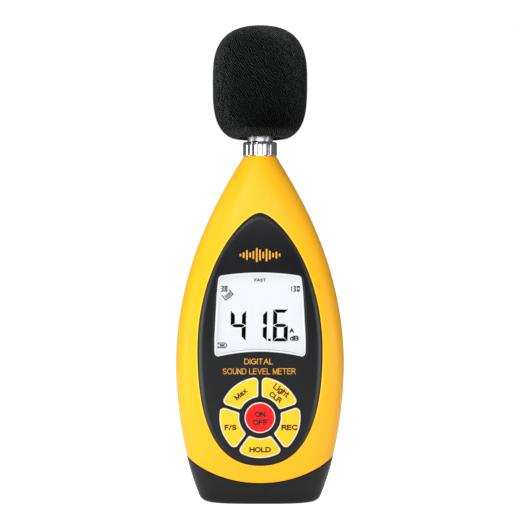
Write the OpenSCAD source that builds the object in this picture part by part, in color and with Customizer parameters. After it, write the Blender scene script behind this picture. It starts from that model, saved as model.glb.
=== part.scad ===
// Handheld sound level meter: a tapered two-part casing on a flat-ended boot, with a display,
// a ring of keys and a half-inch microphone under a foam ball.
// +Z runs up from the base to the ball, and the display and keys face -Y.

/* [Casing] */
// Height of the neck's top face above the base
neck_z = 177.4; // [175:0.1:180]
// Radius of the round neck at its top
neck_r = 8.6; // [8.5:0.1:9]
// Height of the widest level
waist_z = 69.4; // [66:0.2:72]
// Half of the greatest width
waist_a = 43.5; // [43:0.1:44.5]
// Half of the greatest depth
waist_b = 19.5; // [19.5:0.1:21]
// Half of the width at the base
base_a = 30.3; // [30:0.1:32]
// Half of the depth at the base
base_b = 16.5; // [16.5:0.1:17.5]
// How square the casing's section is: 2 is an ellipse
waist_power = 3.2; // [3:0.1:3.6]
// Wall thickness of the two casing shells
wall = 2.2; // [2:0.1:2.4]
// Rounding of the boot's bottom edge
base_round = 3; // [2:0.1:3.5]

/* [Boot] */
// Radius of the arc where the shells meet the boot
boot_arc_r = 64; // [63:0.5:66]
// Height of that arc's lowest point
boot_arc_z = 11.2; // [10.5:0.1:12]
// Wall thickness of the boot
boot_wall = 3.7; // [3.5:0.1:4]

/* [Front panel] */
// Half of the panel's width at its widest
panel_a = 31.4; // [31:0.1:32]
// Height of the panel's lowest point
panel_low_z = 20.3; // [20:0.1:21]
// Height of the panel's highest point
panel_high_z = 147.7; // [147:0.1:148.5]
// How far the panel stands out of the casing
panel_proud = 0.9; // [0.6:0.1:1.2]
// How deep the panel sits in the casing
panel_sunk = 0.8; // [0.6:0.1:1]

/* [Keys] */
// Height of the key ring's centre
keys_z = 44.7; // [44:0.1:45]
// Radius of the round power key
power_r = 7.7; // [7:0.1:8]
// Inner radius of the ring keys
ring_in = 10.5; // [10.3:0.1:11]
// Outer radius of the ring keys
ring_out = 20.4; // [20:0.1:20.6]
// Space between neighbouring ring keys
ring_gap = 1.8; // [1.8:0.1:2]
// How far a key goes in
key_travel = 0.8; // [0.6:0.1:0.8]

/* [Microphone] */
// Radius of the microphone sleeve
sleeve_r = 6.6; // [6.5:0.05:6.65]
// Height of the knurled collar
collar_h = 7.1; // [6.5:0.1:7.5]
// Radius of the knurled collar
collar_r = 8.8; // [8.7:0.1:9]
// Number of flutes round the collar
flutes = 30; // [24:1:32]
// Pitch of the collar's thread
thread_pitch = 0.75; // [0.5:0.05:0.8]
// Greatest radius of the foam ball
foam_r = 24.6; // [24:0.1:25]
// Height of the foam ball's widest level
foam_mid_z = 217.6; // [217:0.1:218]
// Height of the ball above its widest level
foam_rise = 27.4; // [27:0.1:29]

/* [Rear] */
// Half of the battery door's width
door_a = 15.9; // [15.9:0.1:17]
// Height of the door's lower edge, which is its hinge
door_low_z = 19; // [18.8:0.1:19.4]
// Height of the door's upper edge
door_high_z = 82; // [81.6:0.1:84]
// Height of the tripod insert's axis
tripod_z = 99; // [97:0.5:103]
// Radius of the tripod insert's tapped hole
tripod_hole_r = 2.6; // [2.5:0.05:2.7]
// Place of the calibration hole across and up
trim_at = [12, 122]; // [8:0.5:14]

/* [Hidden] */
$fn = 48;

// Casing section: [half width, half depth, height] control points above and below the waist
upper_curve = [[neck_r, neck_r, neck_z], [neck_r + 8.5, 17, neck_z - 14],
    [waist_a, waist_b + 0.9, waist_z + 54.2], [waist_a, waist_b, waist_z]];
lower_curve = [[waist_a, waist_b, waist_z], [waist_a, waist_b, waist_z - 5],
    [waist_a - 0.5, waist_b - 0.3, 28.5], [base_a, base_b, 0]];
levels = 22;
level_step = 1.9 / levels;
boot_from = 1.5;
half_points = 20;
square_run = 52;
solid_neck_levels = 2;

// Fits
seam = 0.2;
key_clear = 0.3;
door_clear = 0.3;
sleeve_clear = 0.1;

// Depths of the stack behind the panel, as Y of each face
deck_front = -16.4;
deck_back = -15;
flange_y = [-14.9, -14.1];
key_top_y = -21;
stem_back = -13;
dome_top = stem_back + key_travel + 0.1;
mat_y = [-10.6, -9.6];
board_y = [-9.6, -8];
glass_y = [-14.9, -13.8, -12.7];

// Places of the fasteners as [x, z]
housing_at = [[-36, 50], [36, 50], [-15, 146], [15, 146]];
board_at = [[-27, 30], [27, 30], [-26.5, 126], [26.5, 126]];
seat_y = 9.5;
insert_r = 4.7;
insert_y = 10;

// Battery bay
bay_a = 13.9;
bay_wall = 1.8;
bay_low_z = 21.7;
bay_foot = 3.9;
bay_high_z = 80.6;
bay_floor_y = -2.3;
battery_low_z = 24;
battery_y = [-2, 15.5];
hook_x = 8;
hook_w = 4;
door_t = 2;
hinge_r = door_t / 2;
hinge_z = door_low_z + hinge_r;

// Microphone heights
thread_low_z = neck_z + 0.05;
sleeve_low_z = 164;
sleeve_top_z = 204;
capsule_top_z = 214;
bore_r = sleeve_r + sleeve_clear;
thread_r = sleeve_r + 0.5;
washer_h = 0.5;
foam_low_z = 187;

yellow = [1, 0.8, 0.15];
black = [0.16, 0.17, 0.18];
steel = [0.8, 0.81, 0.83];

function bezier(p, t) = pow(1 - t, 3) * p[0] + 3 * t * pow(1 - t, 2) * p[1]
    + 3 * t * t * (1 - t) * p[2] + pow(t, 3) * p[3];
function smooth(u) = u * u * (3 - 2 * u);
// Section at level u: 0 is the neck's top, 1 the waist and 2 the base
function section(u) = u <= 1 ? bezier(upper_curve, u) : bezier(lower_curve, u - 1);
function power_at(z) =
    2 + (waist_power - 2) * smooth(min(1, max(0, (neck_z - z) / square_run)));
function level_at_z(z, lo = 0, hi = 2, steps = 24) =
    steps == 0 ? (lo + hi) / 2
    : section((lo + hi) / 2)[2] > z ? level_at_z(z, (lo + hi) / 2, hi, steps - 1)
    : level_at_z(z, lo, (lo + hi) / 2, steps - 1);
function depth_at_z(z) = section(level_at_z(z))[1];
hinge_y = depth_at_z(hinge_z) - hinge_r;

// Half of a section's outline, on the front (side = -1) or the rear (side = 1)
function half_ring(s, d, side) = [for (i = [0 : half_points])
    let (t = 90 - side * (90 - 180 * i / half_points), n = power_at(s[2]), c = cos(t))
    [(s[0] + d) * sign(c) * pow(abs(c), 2 / n),
        side * (s[1] + d) * pow(abs(sin(t)), 2 / n), s[2]]];
// Whole outline of a section
function full_ring(s, d) = [for (i = [0 : 2 * half_points - 1])
    let (t = 180 * i / half_points, n = power_at(s[2]), c = cos(t), v = sin(t))
    [(s[0] + d) * sign(c) * pow(abs(c), 2 / n),
        (s[1] + d) * sign(v) * pow(abs(v), 2 / n), s[2]]];

// A solid skinned over closed rings that are listed from the top down
module loft(rings) {
    n = len(rings[0]);
    last = len(rings) - 1;
    polyhedron(
        points = [for (ring = rings) each ring],
        faces = concat(
            [[for (i = [n - 1 : -1 : 0]) i]],
            [for (k = [0 : last - 1], i = [0 : n - 1])
                let (j = (i + 1) % n)
                each [[k * n + i, k * n + j, (k + 1) * n + i],
                    [k * n + j, (k + 1) * n + j, (k + 1) * n + i]]],
            [[for (i = [0 : n - 1]) last * n + i]]));
}

// Front or rear half of the casing, grown by d, starting some levels below the neck's top
module casing_half(side, d, skip = 0) {
    loft([for (k = [skip : levels]) half_ring(section(k * level_step), d, side)]);
}

// The casing's bottom end, grown by d, down to a flat face at height low
module casing_end(d, low, rounding) {
    steps = 3;
    flare = (lower_curve[2] - lower_curve[3]) / lower_curve[2][2];
    loft(concat(
        [for (k = [0 : 5]) full_ring(section(boot_from + (1.95 - boot_from) * k / 5), d)],
        [for (k = [0 : steps]) let (q = 90 * k / steps,
            z = low + rounding * (1 - sin(q)), s = lower_curve[3] + z * flare)
            full_ring([s[0], s[1], z], d - rounding * (1 - cos(q)))]));
}

// Extrudes a shape drawn in X and Z from the face at y0 back to y1
module along_y(y0, y1) {
    translate([0, y1, 0]) rotate([90, 0, 0]) linear_extrude(y1 - y0) children();
}
module post(at, r, y0, y1) {
    along_y(y0, y1) translate(at) circle(r);
}
module block(x, y, z) {
    translate([x[0], y[0], z[0]]) cube([x[1] - x[0], y[1] - y[0], z[1] - z[0]]);
}
module plate(a, z, r) {
    translate([r - a, z[0] + r]) square([2 * (a - r), z[1] - z[0] - 2 * r]);
    translate([-a, z[0] + r]) square([2 * a, z[1] - z[0] - 2 * r]);
    translate([r - a, z[0]]) square([2 * (a - r), z[1] - z[0]]);
    for (x = [r - a, a - r], h = [z[0] + r, z[1] - r]) translate([x, h]) circle(r);
}

// Everything below the arc between the shells and the boot, with the arc at radius r
module below_arc(r) {
    centre_z = boot_arc_z + boot_arc_r;
    difference() {
        block([-60, 60], [-30, 30], [-5, centre_z]);
        along_y(-31, 31) translate([0, centre_z]) circle(r, $fn = 96);
    }
}

// Panel outline, grown by d
function panel_side(d) = concat(
    [for (i = [0 : 16]) bezier([[0, panel_low_z - d], [13.7, panel_low_z - d],
        [panel_a + d, 27.7], [panel_a + d, 78.2]], i / 16)],
    [for (i = [1 : 16]) bezier([[panel_a + d, 78.2], [panel_a + d, 123],
        [7.6, panel_high_z + d], [0, panel_high_z + d]], i / 16)]);
module panel_outline(d = 0) {
    side = panel_side(d);
    polygon(concat(side, [for (i = [len(side) - 2 : -1 : 1]) [-side[i][0], side[i][1]]]));
}

// Window outline, grown by d: arched top and bottom edges with rounded corners
win_top = [21.5, 116.2];
win_low = [23.4, 75.3];
win_round = 2.3;
function arc(c, r, a0, a1, n) = [for (i = [0 : n])
    let (a = a0 + (a1 - a0) * i / n) [c[0] + r * cos(a), c[1] + r * sin(a)]];
function arched(a, z, rise, n) = [for (i = [1 : n - 1])
    let (x = a * (1 - 2 * i / n)) [x, z + rise * (1 - x * x / (a * a))]];
module window_outline(d = 0) {
    r = win_round + d;
    top = [win_top[0] - win_round, win_top[1] - win_round];
    low = [win_low[0] - win_round, win_low[1] + win_round];
    polygon(concat(
        arc(top, r, 0, 85, 5), arched(top[0], top[1] + r, 1.5, 10),
        arc([-top[0], top[1]], r, 95, 180, 5),
        arc([-low[0], low[1]], r, 180, 265, 5),
        [for (i = [9 : -1 : 1]) arched(low[0], low[1] - r, 2.5, 10)[i - 1]],
        arc(low, r, 275, 360, 5)));
}

// One ring key's outline about the ring's centre, grown by d, with its middle at angle 0
function ring_key(d) = let (
    half = 36, rc = 2.2 + d, ri = 1.2 + d, h = ring_gap / 2 - d,
    out = ring_out + d - rc, inn = ring_in - d + ri,
    fo = half - asin((h + rc) / out), fi = half - asin((h + ri) / inn),
    upper = concat(
        arc([0, 0], ring_out + d, 0, fo, 5),
        arc([out * cos(fo), out * sin(fo)], rc, fo, half + 90, 5),
        arc([inn * cos(fi), inn * sin(fi)], ri, half + 90, fi + 180, 4),
        arc([0, 0], ring_in - d, fi, 0, 3)))
    concat(upper, [for (i = [len(upper) - 2 : -1 : 1]) [upper[i][0], -upper[i][1]]]);
key_angles = [126, 54, -18, -90, -162];
module ring_key_outline(angle, d = 0) {
    translate([0, keys_z]) rotate(angle) polygon(ring_key(d));
}
module key_holes(d) {
    translate([0, keys_z]) circle(power_r + d);
    for (angle = key_angles) ring_key_outline(angle, d);
}

module shell_fasteners(pilot_r, y0, y1) {
    for (at = housing_at) post(at, pilot_r, y0, y1);
}

module front_shell() {
    color(yellow) difference() {
        casing_half(-1, 0);
        difference() {
            casing_half(-1, -wall, solid_neck_levels);
            for (at = housing_at) post(at, 3.2, -20, 0);
            for (at = board_at) post(at, 2.6, -20, board_y[0]);
            post([0, keys_z], 23.6, deck_front, deck_back);
        }
        difference() {
            along_y(-25, 0) panel_outline(0.15);
            casing_half(-1, -panel_sunk);
        }
        along_y(-25, -10) window_outline(-1);
        along_y(-25, -14.5) key_holes(key_clear);
        shell_fasteners(1.45, -11, 1);
        for (at = board_at) post(at, 1.05, -14, -5);
        translate([0, 0, 160]) cylinder(h = 20, r = bore_r);
        below_arc(boot_arc_r);
    }
}

module door_outline(d) {
    plate(door_a + d, [door_low_z - d, door_high_z + d], 3 + d);
}

module rear_shell() {
    bay = [-bay_a - bay_wall, bay_a + bay_wall];
    bay_z = [bay_low_z - bay_foot, bay_high_z + bay_wall];
    color(yellow) difference() {
        union() {
            difference() {
                casing_half(1, 0);
                difference() {
                    casing_half(1, -wall, solid_neck_levels);
                    block(bay, [-1, 20], bay_z);
                    for (at = housing_at) post(at, 3.6, 0, 20);
                    post([0, tripod_z], 7.5, 8.5, 20);
                    post(trim_at, 3.2, 1, 20);
                }
            }
            block(bay, [bay_floor_y - 1.2, 1], bay_z);
        }
        difference() {
            along_y(0, 25) door_outline(door_clear);
            casing_half(1, -door_t - 0.1);
        }
        difference() {
            block([-bay_a, bay_a], [bay_floor_y, 25], [bay_low_z, bay_high_z]);
            block([-3.5, 3.5], [0, 12], [bay_low_z - 1, battery_low_z - 0.1]);
        }
        for (x = [-hook_x, hook_x]) {
            block([x - 2.6, x + 2.6], [12, 19], [door_low_z - 0.1, bay_low_z + 1]);
            block([x - 2.6, x + 2.6], [12, 15.5], [door_low_z - 2.5, bay_low_z + 1]);
        }
        translate([0, hinge_y, hinge_z]) rotate([0, 90, 0])
            cylinder(h = 2 * door_a, r = hinge_r + door_clear, center = true);
        block([-6, 6], [5, 9.5], [bay_high_z - 1, bay_high_z + bay_wall + 1]);
        shell_fasteners(1.6, -1, 20);
        shell_fasteners(3.2, seat_y, 22);
        post([0, tripod_z], insert_r + 0.05, insert_y, 25);
        post(trim_at, 1.6, -5, 25);
        translate([0, waist_b + 2.7, door_high_z + 3.5]) rotate([0, 90, 0])
            cylinder(h = 14, r = 4, center = true);
        translate([0, 0, 160]) cylinder(h = 20, r = bore_r);
        below_arc(boot_arc_r);
    }
}

module end_boot() {
    color(black) difference() {
        union() {
            intersection() {
                casing_end(0, 0, base_round);
                below_arc(boot_arc_r + seam);
            }
            intersection() {
                casing_end(-wall - 0.25, 1, 2);
                below_arc(boot_arc_r - 2.5);
            }
        }
        casing_end(-boot_wall, 3, 1);
    }
}

module front_panel() {
    color(black) difference() {
        intersection() {
            difference() {
                casing_half(-1, panel_proud);
                casing_half(-1, -panel_sunk);
            }
            along_y(-25, 0) panel_outline();
        }
        along_y(-25, 0) window_outline(0.1);
        along_y(-25, 0) key_holes(key_clear);
    }
}

module display_window() {
    color([0.9, 0.95, 1, 0.5]) intersection() {
        difference() {
            casing_half(-1, panel_proud - 0.3);
            casing_half(-1, -panel_sunk);
        }
        along_y(-25, 0) window_outline();
    }
}

// Display stack
module display_gasket() {
    color([0.1, 0.1, 0.1]) along_y(glass_y[0] - 0.2, glass_y[0]) difference() {
        window_outline(0.9);
        window_outline(-0.8);
    }
}
module lcd_polariser() {
    color([0.85, 0.9, 0.92]) along_y(glass_y[0] - 0.15, glass_y[0]) window_outline(-0.9);
}
module lcd_front_glass() {
    color([0.9, 0.94, 0.96]) block([-23.4, 23.4], [glass_y[0], glass_y[1]], [75.6, 118.4]);
}
module lcd_rear_glass() {
    color([0.82, 0.88, 0.9]) block([-23.8, 23.8], [glass_y[1], glass_y[2]], [72.8, 119]);
}
module light_guide() {
    color([0.95, 0.97, 0.98]) block([-22.7, 22.7], [glass_y[2], glass_y[2] + 2.2], [75.6, 118.3]);
}
module lcd_holder() {
    color([0.93, 0.93, 0.9]) difference() {
        along_y(-13.4, board_y[0]) plate(25.2, [71.6, 120.4], 1);
        block([-23.9, 23.9], [-14, glass_y[2]], [72.7, 119.1]);
        block([-22.8, 22.8], [-14, -9], [72.7, 118.4]);
        block([-24.6, 24.6], [glass_y[2], -9], [84, 110]);
    }
}
module backlight_leds() {
    color([1, 0.98, 0.8]) for (z = [88, 97, 106])
        block([-24.4, -22.8], [-11.8, board_y[0]], [z - 1.5, z + 1.5]);
}
module zebra_strip() {
    color([0.95, 0.55, 0.7])
        block([-21.5, 21.5], [glass_y[2], board_y[0]], [73.1, 75.1]);
}

// Keys
module keypad_mat() {
    dome_at = concat([[0, keys_z]], [for (a = key_angles)
        [15.5 * cos(a), keys_z + 15.5 * sin(a)]]);
    color([0.75, 0.75, 0.72]) {
        post([0, keys_z], 21.6, mat_y[0], mat_y[1]);
        for (at = dome_at) translate([at[0], mat_y[0], at[1]]) rotate([90, 0, 0])
            cylinder(h = mat_y[0] - dome_top, r1 = 4, r2 = 2.6);
    }
}
module key_stem(at) {
    post(at, 2.4, flange_y[0], stem_back);
}
module power_key() {
    color([1, 0.2, 0.2]) {
        post([0, keys_z], power_r, key_top_y, flange_y[1]);
        post([0, keys_z], power_r + 0.9, flange_y[0], flange_y[1]);
        key_stem([0, keys_z]);
    }
}
module ring_key_cap(angle) {
    color([1, 0.85, 0.2]) {
        along_y(key_top_y, flange_y[1]) ring_key_outline(angle);
        along_y(flange_y[0], flange_y[1]) ring_key_outline(angle, 0.6);
        key_stem([15.5 * cos(angle), keys_z + 15.5 * sin(angle)]);
    }
}
module max_key() {
    ring_key_cap(key_angles[0]);
}
module light_key() {
    ring_key_cap(key_angles[1]);
}
module rec_key() {
    ring_key_cap(key_angles[2]);
}
module hold_key() {
    ring_key_cap(key_angles[3]);
}
module speed_key() {
    ring_key_cap(key_angles[4]);
}

// Electronics
module main_board() {
    edge = [[24, 21.5], [30.5, 31], [31.5, 60], [31.5, 100], [28.8, 126.5], [26, 130], [18, 138]];
    color([0.1, 0.4, 0.2]) along_y(board_y[0], board_y[1]) difference() {
        polygon(concat(edge, [for (i = [len(edge) - 1 : -1 : 0]) [-edge[i][0], edge[i][1]]]));
        for (at = board_at) translate(at) circle(1.3);
    }
}
module board_screws() {
    color(steel) for (at = board_at) {
        post(at, 1, -13.6, board_y[1]);
        difference() {
            post(at, 2.1, board_y[1], board_y[1] + 1.5);
            along_y(board_y[1] + 0.6, -4) translate(at) square([0.5, 2.6], center = true);
            along_y(board_y[1] + 0.6, -4) translate(at) square([2.6, 0.5], center = true);
        }
    }
}
// A flat chip on the board's rear face with a row of legs along each side
module chip(at, size, legs) {
    y = board_y[1];
    pitch = size[1] / (legs + 1);
    block([at[0] - size[0] / 2, at[0] + size[0] / 2], [y, y + 1.7],
        [at[1] - size[1] / 2, at[1] + size[1] / 2]);
    for (i = [1 : legs], s = [-1, 1]) {
        x = at[0] + s * (size[0] / 2 + 0.6);
        z = at[1] - size[1] / 2 + i * pitch;
        block([x - 0.7, x + 0.7], [y, y + 0.5], [z - 0.2, z + 0.2]);
    }
}
module processor_chip() {
    color([0.12, 0.12, 0.13]) chip([0, 99], [14, 14], 12);
}
module detector_chip() {
    color([0.12, 0.12, 0.13]) chip([-19, 112], [7.5, 10], 7);
}
module amplifier_chips() {
    color([0.12, 0.12, 0.13]) for (at = [[-13, 127], [2, 121]]) chip(at, [4, 5], 4);
}
module crystal() {
    y = board_y[1] + 0.05;
    color(steel) {
        for (x = [18, 24.4]) translate([x, y + 1.75, 94]) cylinder(h = 8, r = 1.75);
        block([18, 24.4], [y, y + 3.5], [94, 102]);
    }
}
module capacitors() {
    color([0.2, 0.25, 0.5]) for (at = [[-20, 92], [-26, 92], [22, 112]])
        post(at, 2.5, board_y[1], board_y[1] + 5.4);
}
module mic_connector() {
    color([0.93, 0.92, 0.86])
        block([-4, 4], [board_y[1], board_y[1] + 4.2], [128.5, 133.5]);
}
module trimmer_body() {
    y = board_y[1];
    color([0.15, 0.3, 0.75]) difference() {
        along_y(y, y + 4.4) translate(trim_at) square(6.8, center = true);
        post(trim_at, 2.1, y + 1.6, y + 6);
    }
}
module trimmer_rotor() {
    y = board_y[1] + 1.7;
    color([0.9, 0.85, 0.7]) difference() {
        post(trim_at, 1.95, y, y + 3.6);
        along_y(y + 2.4, y + 6) translate(trim_at) square([0.6, 2.8], center = true);
    }
}

// Microphone
module mic_sleeve() {
    teeth = 11;
    ridge = 0.3;
    thread_top = thread_low_z + teeth * thread_pitch;
    clip_z = clip_top_z() - 0.4;
    profile = concat(
        [[sleeve_r - 0.9, sleeve_low_z], [sleeve_r, sleeve_low_z],
            [sleeve_r, clip_z - 0.5], [5.95, clip_z - 0.5], [5.95, clip_z + 0.5],
            [sleeve_r, clip_z + 0.5], [sleeve_r, thread_low_z]],
        [for (i = [0 : teeth - 1]) each [
            [thread_r - ridge, thread_low_z + i * thread_pitch],
            [thread_r, thread_low_z + (i + 0.5) * thread_pitch]]],
        [[thread_r - ridge, thread_top], [sleeve_r, thread_top],
            [sleeve_r, sleeve_top_z], [sleeve_r - 0.9, sleeve_top_z]]);
    color(steel) rotate_extrude($fn = 64) polygon(profile);
}
function clip_top_z() = section(solid_neck_levels * level_step)[2] - 0.1;
module sleeve_clip() {
    top = clip_top_z();
    color([0.45, 0.45, 0.47]) difference() {
        translate([0, 0, top - 0.8]) cylinder(h = 0.8, r = 9);
        translate([0, 0, top - 1]) cylinder(h = 2, r = 6.05);
        block([-4.5, 4.5], [0, 12], [top - 1, top + 1]);
    }
}
module collar_washer() {
    color(steel) difference() {
        translate([0, 0, neck_z]) cylinder(h = washer_h, r = neck_r - 0.2);
        translate([0, 0, neck_z - 1]) cylinder(h = 3, r = thread_r + sleeve_clear);
    }
}
module mic_collar() {
    low = neck_z + washer_h;
    top = low + collar_h;
    chamfer = 1;
    color(steel) difference() {
        rotate_extrude($fn = 96) polygon([[thread_r + sleeve_clear, low], [collar_r - 0.4, low],
            [collar_r, low + 0.4], [collar_r, top - chamfer - 0.2],
            [collar_r - chamfer, top], [thread_r + sleeve_clear, top]]);
        for (i = [0 : flutes - 1]) rotate(360 * i / flutes)
            translate([collar_r + 0.35, 0, low - 1]) cylinder(h = collar_h + 2, r = 0.7, $fn = 16);
    }
}
module preamp_board() {
    color([0.1, 0.4, 0.2]) block([-4.6, 4.6], [-0.6, 0.6], [167, 199]);
}
module mic_capsule() {
    color([0.7, 0.71, 0.73]) {
        translate([0, 0, sleeve_top_z]) cylinder(h = capsule_top_z - sleeve_top_z, r = 6.35);
        translate([0, 0, sleeve_top_z - 3]) cylinder(h = 3.5, r = sleeve_r - 1);
    }
}
module mic_grid() {
    color(steel) difference() {
        translate([0, 0, capsule_top_z]) cylinder(h = 2.4, r = 6.6);
        translate([0, 0, capsule_top_z - 1]) cylinder(h = 2.6, r = 5.6);
        for (r = [2, 3.6], i = [0 : 7]) rotate(45 * i + r * 6) translate([r, 0, capsule_top_z])
            cylinder(h = 4, r = 0.45, $fn = 16);
    }
}

// A round flexible lead along a route
function unit(v) = v / norm(v);
function lead_ring(route, k, r) = let (
    t = unit(route[min(k + 1, len(route) - 1)] - route[max(k - 1, 0)]),
    side = unit(cross(t, [0.9, 0.3, 0.1])), up = cross(side, t))
    [for (i = [0 : 7]) route[k] + r * (cos(45 * i) * side + sin(45 * i) * up)];
module lead(route, r) {
    loft([for (k = [0 : len(route) - 1]) lead_ring(route, k, r)]);
}
function lead_route(p, n) = [for (i = [0 : n]) bezier(p, i / n)];
mic_route = [[0, 0, 167], [0, 0, 152], [0, -6, 152], [0, -6, 133.5]];
red_route = [[3, 7.5, 76.8], [3, 7.5, 96], [10, 2, 89], [10, -8, 89]];
black_route = [[-3, 7.5, 76.8], [-3, 7.5, 96], [-10, 2, 89], [-10, -8, 89]];
module mic_lead() {
    color([0.3, 0.3, 0.32]) lead(lead_route(mic_route, 12), 1.1);
}
module battery_lead_red() {
    color([0.8, 0.1, 0.1]) lead(lead_route(red_route, 12), 0.75);
}
module battery_lead_black() {
    color([0.1, 0.1, 0.1]) lead(lead_route(black_route, 12), 0.75);
}

// Foam ball: rounder above its widest level than below it
function foam_edge(q, span, n) = [foam_r * pow(1 - pow(q, n), 1 / n), span * q];
module windscreen() {
    low_span = 32;
    bore = sleeve_r + 0.3;
    bore_top_z = 218;
    cut = (foam_mid_z - foam_low_z) / low_span;
    above = [for (i = [0 : 16]) let (q = sin(90 * i / 16)) foam_edge(q, foam_rise, 2.75)];
    below = [for (i = [1 : 12]) foam_edge(cut * sin(90 * i / 12), -low_span, 3.44)];
    color([0.15, 0.15, 0.16]) translate([0, 0, foam_mid_z]) rotate_extrude($fn = 96)
        polygon(concat(
            [for (i = [16 : -1 : 0]) above[i]], below,
            [[bore, foam_low_z + 1.2 - foam_mid_z], [bore, bore_top_z - foam_mid_z],
                [0, bore_top_z - foam_mid_z]]));
}

// Battery and its bay
module battery_door() {
    lug_y = hinge_y - 3.1;
    color(black) {
        difference() {
            intersection() {
                difference() {
                    casing_half(1, 0);
                    casing_half(1, -door_t);
                }
                along_y(0, 25) door_outline(0);
            }
            difference() {
                block([-door_a, door_a], [0, 25], [door_low_z - 1, hinge_z]);
                translate([0, hinge_y, hinge_z]) rotate([0, 90, 0])
                    cylinder(h = 2 * door_a + 1, r = hinge_r, center = true);
            }
            for (k = [0 : 5]) translate([0, waist_b + 0.25, door_high_z - 6 - 2 * k])
                rotate([0, 90, 0]) cylinder(h = 14, r = 0.6, center = true, $fn = 16);
        }
        for (x = [-hook_x, hook_x]) {
            block([x - hook_w / 2, x + hook_w / 2], [lug_y, hinge_y - 0.7],
                [hinge_z - 0.6, hinge_z + 1]);
            block([x - hook_w / 2, x + hook_w / 2], [lug_y, lug_y + 1.3],
                [hinge_z - 3, hinge_z + 1]);
        }
    }
}
module battery_pad() {
    color([0.3, 0.3, 0.3]) intersection() {
        along_y(battery_y[1] + 0.2, 19) plate(9, [42, 66], 1);
        casing_half(1, -door_t - 0.02);
    }
}
module battery() {
    color([0.25, 0.3, 0.35]) block([-13.25, 13.25], battery_y, [battery_low_z, 69.6]);
}
module battery_terminals() {
    y = (battery_y[0] + battery_y[1]) / 2;
    color(steel) {
        translate([-6.35, y, 69.6]) cylinder(h = 2.8, r = 2.8);
        translate([6.35, y, 69.6]) cylinder(h = 2.8, r = 3.9);
    }
}
module battery_clip() {
    y = (battery_y[0] + battery_y[1]) / 2;
    color([0.08, 0.08, 0.08]) difference() {
        block([-12.8, 12.8], [y - 6.5, y + 6.5], [70, 76.8]);
        translate([-6.35, y, 69]) cylinder(h = 3.5, r = 2.9);
        translate([6.35, y, 69]) cylinder(h = 3.5, r = 4);
    }
}

// Tapped brass insert in the rear wall for a tripod's screw
module tripod_insert() {
    face_y = depth_at_z(tripod_z) - 0.3;
    color([0.85, 0.65, 0.3]) difference() {
        post([0, tripod_z], insert_r, insert_y, face_y);
        post([0, tripod_z], tripod_hole_r, 9, face_y + 1);
    }
}
module housing_screws() {
    color(steel) for (at = housing_at) {
        post(at, 1.4, -9, seat_y);
        difference() {
            post(at, 2.8, seat_y, seat_y + 2);
            along_y(seat_y + 0.9, 20) translate(at) square([0.8, 3.4], center = true);
            along_y(seat_y + 0.9, 20) translate(at) square([3.4, 0.8], center = true);
        }
    }
}

front_shell();
rear_shell();
end_boot();
front_panel();
display_window();
display_gasket();
lcd_polariser();
lcd_front_glass();
lcd_rear_glass();
light_guide();
lcd_holder();
backlight_leds();
zebra_strip();
keypad_mat();
power_key();
max_key();
light_key();
rec_key();
hold_key();
speed_key();
main_board();
board_screws();
processor_chip();
detector_chip();
amplifier_chips();
crystal();
capacitors();
mic_connector();
trimmer_body();
trimmer_rotor();
mic_sleeve();
sleeve_clip();
collar_washer();
mic_collar();
preamp_board();
mic_capsule();
mic_grid();
mic_lead();
windscreen();
battery_door();
battery_pad();
battery();
battery_terminals();
battery_clip();
battery_lead_red();
battery_lead_black();
tripod_insert();
housing_screws();
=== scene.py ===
"""Looks of the handheld sound level meter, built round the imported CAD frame.

Lengths are millimetres in the frame's own axes, and solid() turns them into metres. An outline is a
closed line in X and Z; a height d is measured outward from the casing's skin.
"""
import math

import bmesh
import bpy
import numpy as np
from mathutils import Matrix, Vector, noise


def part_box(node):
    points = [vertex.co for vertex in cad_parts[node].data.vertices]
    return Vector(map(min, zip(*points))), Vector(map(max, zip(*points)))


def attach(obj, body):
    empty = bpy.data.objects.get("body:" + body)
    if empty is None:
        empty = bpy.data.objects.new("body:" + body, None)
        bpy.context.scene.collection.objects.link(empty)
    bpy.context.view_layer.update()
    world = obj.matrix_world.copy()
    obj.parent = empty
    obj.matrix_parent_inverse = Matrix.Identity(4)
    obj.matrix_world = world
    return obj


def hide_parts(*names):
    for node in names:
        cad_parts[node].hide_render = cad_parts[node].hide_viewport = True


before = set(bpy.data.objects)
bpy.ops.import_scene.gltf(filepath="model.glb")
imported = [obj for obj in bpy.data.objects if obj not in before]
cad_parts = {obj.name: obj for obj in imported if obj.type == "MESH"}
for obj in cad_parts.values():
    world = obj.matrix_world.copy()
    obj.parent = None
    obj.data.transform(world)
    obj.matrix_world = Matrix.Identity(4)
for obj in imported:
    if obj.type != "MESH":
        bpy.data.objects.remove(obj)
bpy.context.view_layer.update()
MM = 0.001


# ---------------------------------------------------------------- driving dimensions
def box_mm(node):
    low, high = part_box(node)
    return np.array(low) / MM, np.array(high) / MM


shell_high = box_mm("front_shell")[1]
panel_high = box_mm("front_panel")[1]
foam_low, foam_high = box_mm("windscreen")
collar_low, collar_high = box_mm("mic_collar")
insert_low, insert_high = box_mm("tripod_insert")
battery_low, battery_high = box_mm("battery")

GAP = 0.3  # clearance round the panel, the keys and the door

# Casing: a round neck, a squarish waist at the greatest width, and a smaller foot. Half widths
# end in _A and half depths in _B
NECK_Z, NECK_R = shell_high[2], 8.6
WAIST_Z, WAIST_A, WAIST_B = 69.4, shell_high[0], 19.5
BASE_A, BASE_B, BASE_ROUND = 30.3, 16.5, 3.0
SQUARE_RUN = 52.0  # height over which the section turns from round to squarish
WAIST_POWER = 3.2  # power of the superellipse at the waist
WALL, REAR_WALL = 2.2, 3.4
SPAN = 44.0  # half width of the unrolled casing half

# Boot: its upper edge is an arc in the front view
ARC_R, ARC_Z = 64.0, 11.2
ARC_CENTRE = ARC_R + ARC_Z

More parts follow.
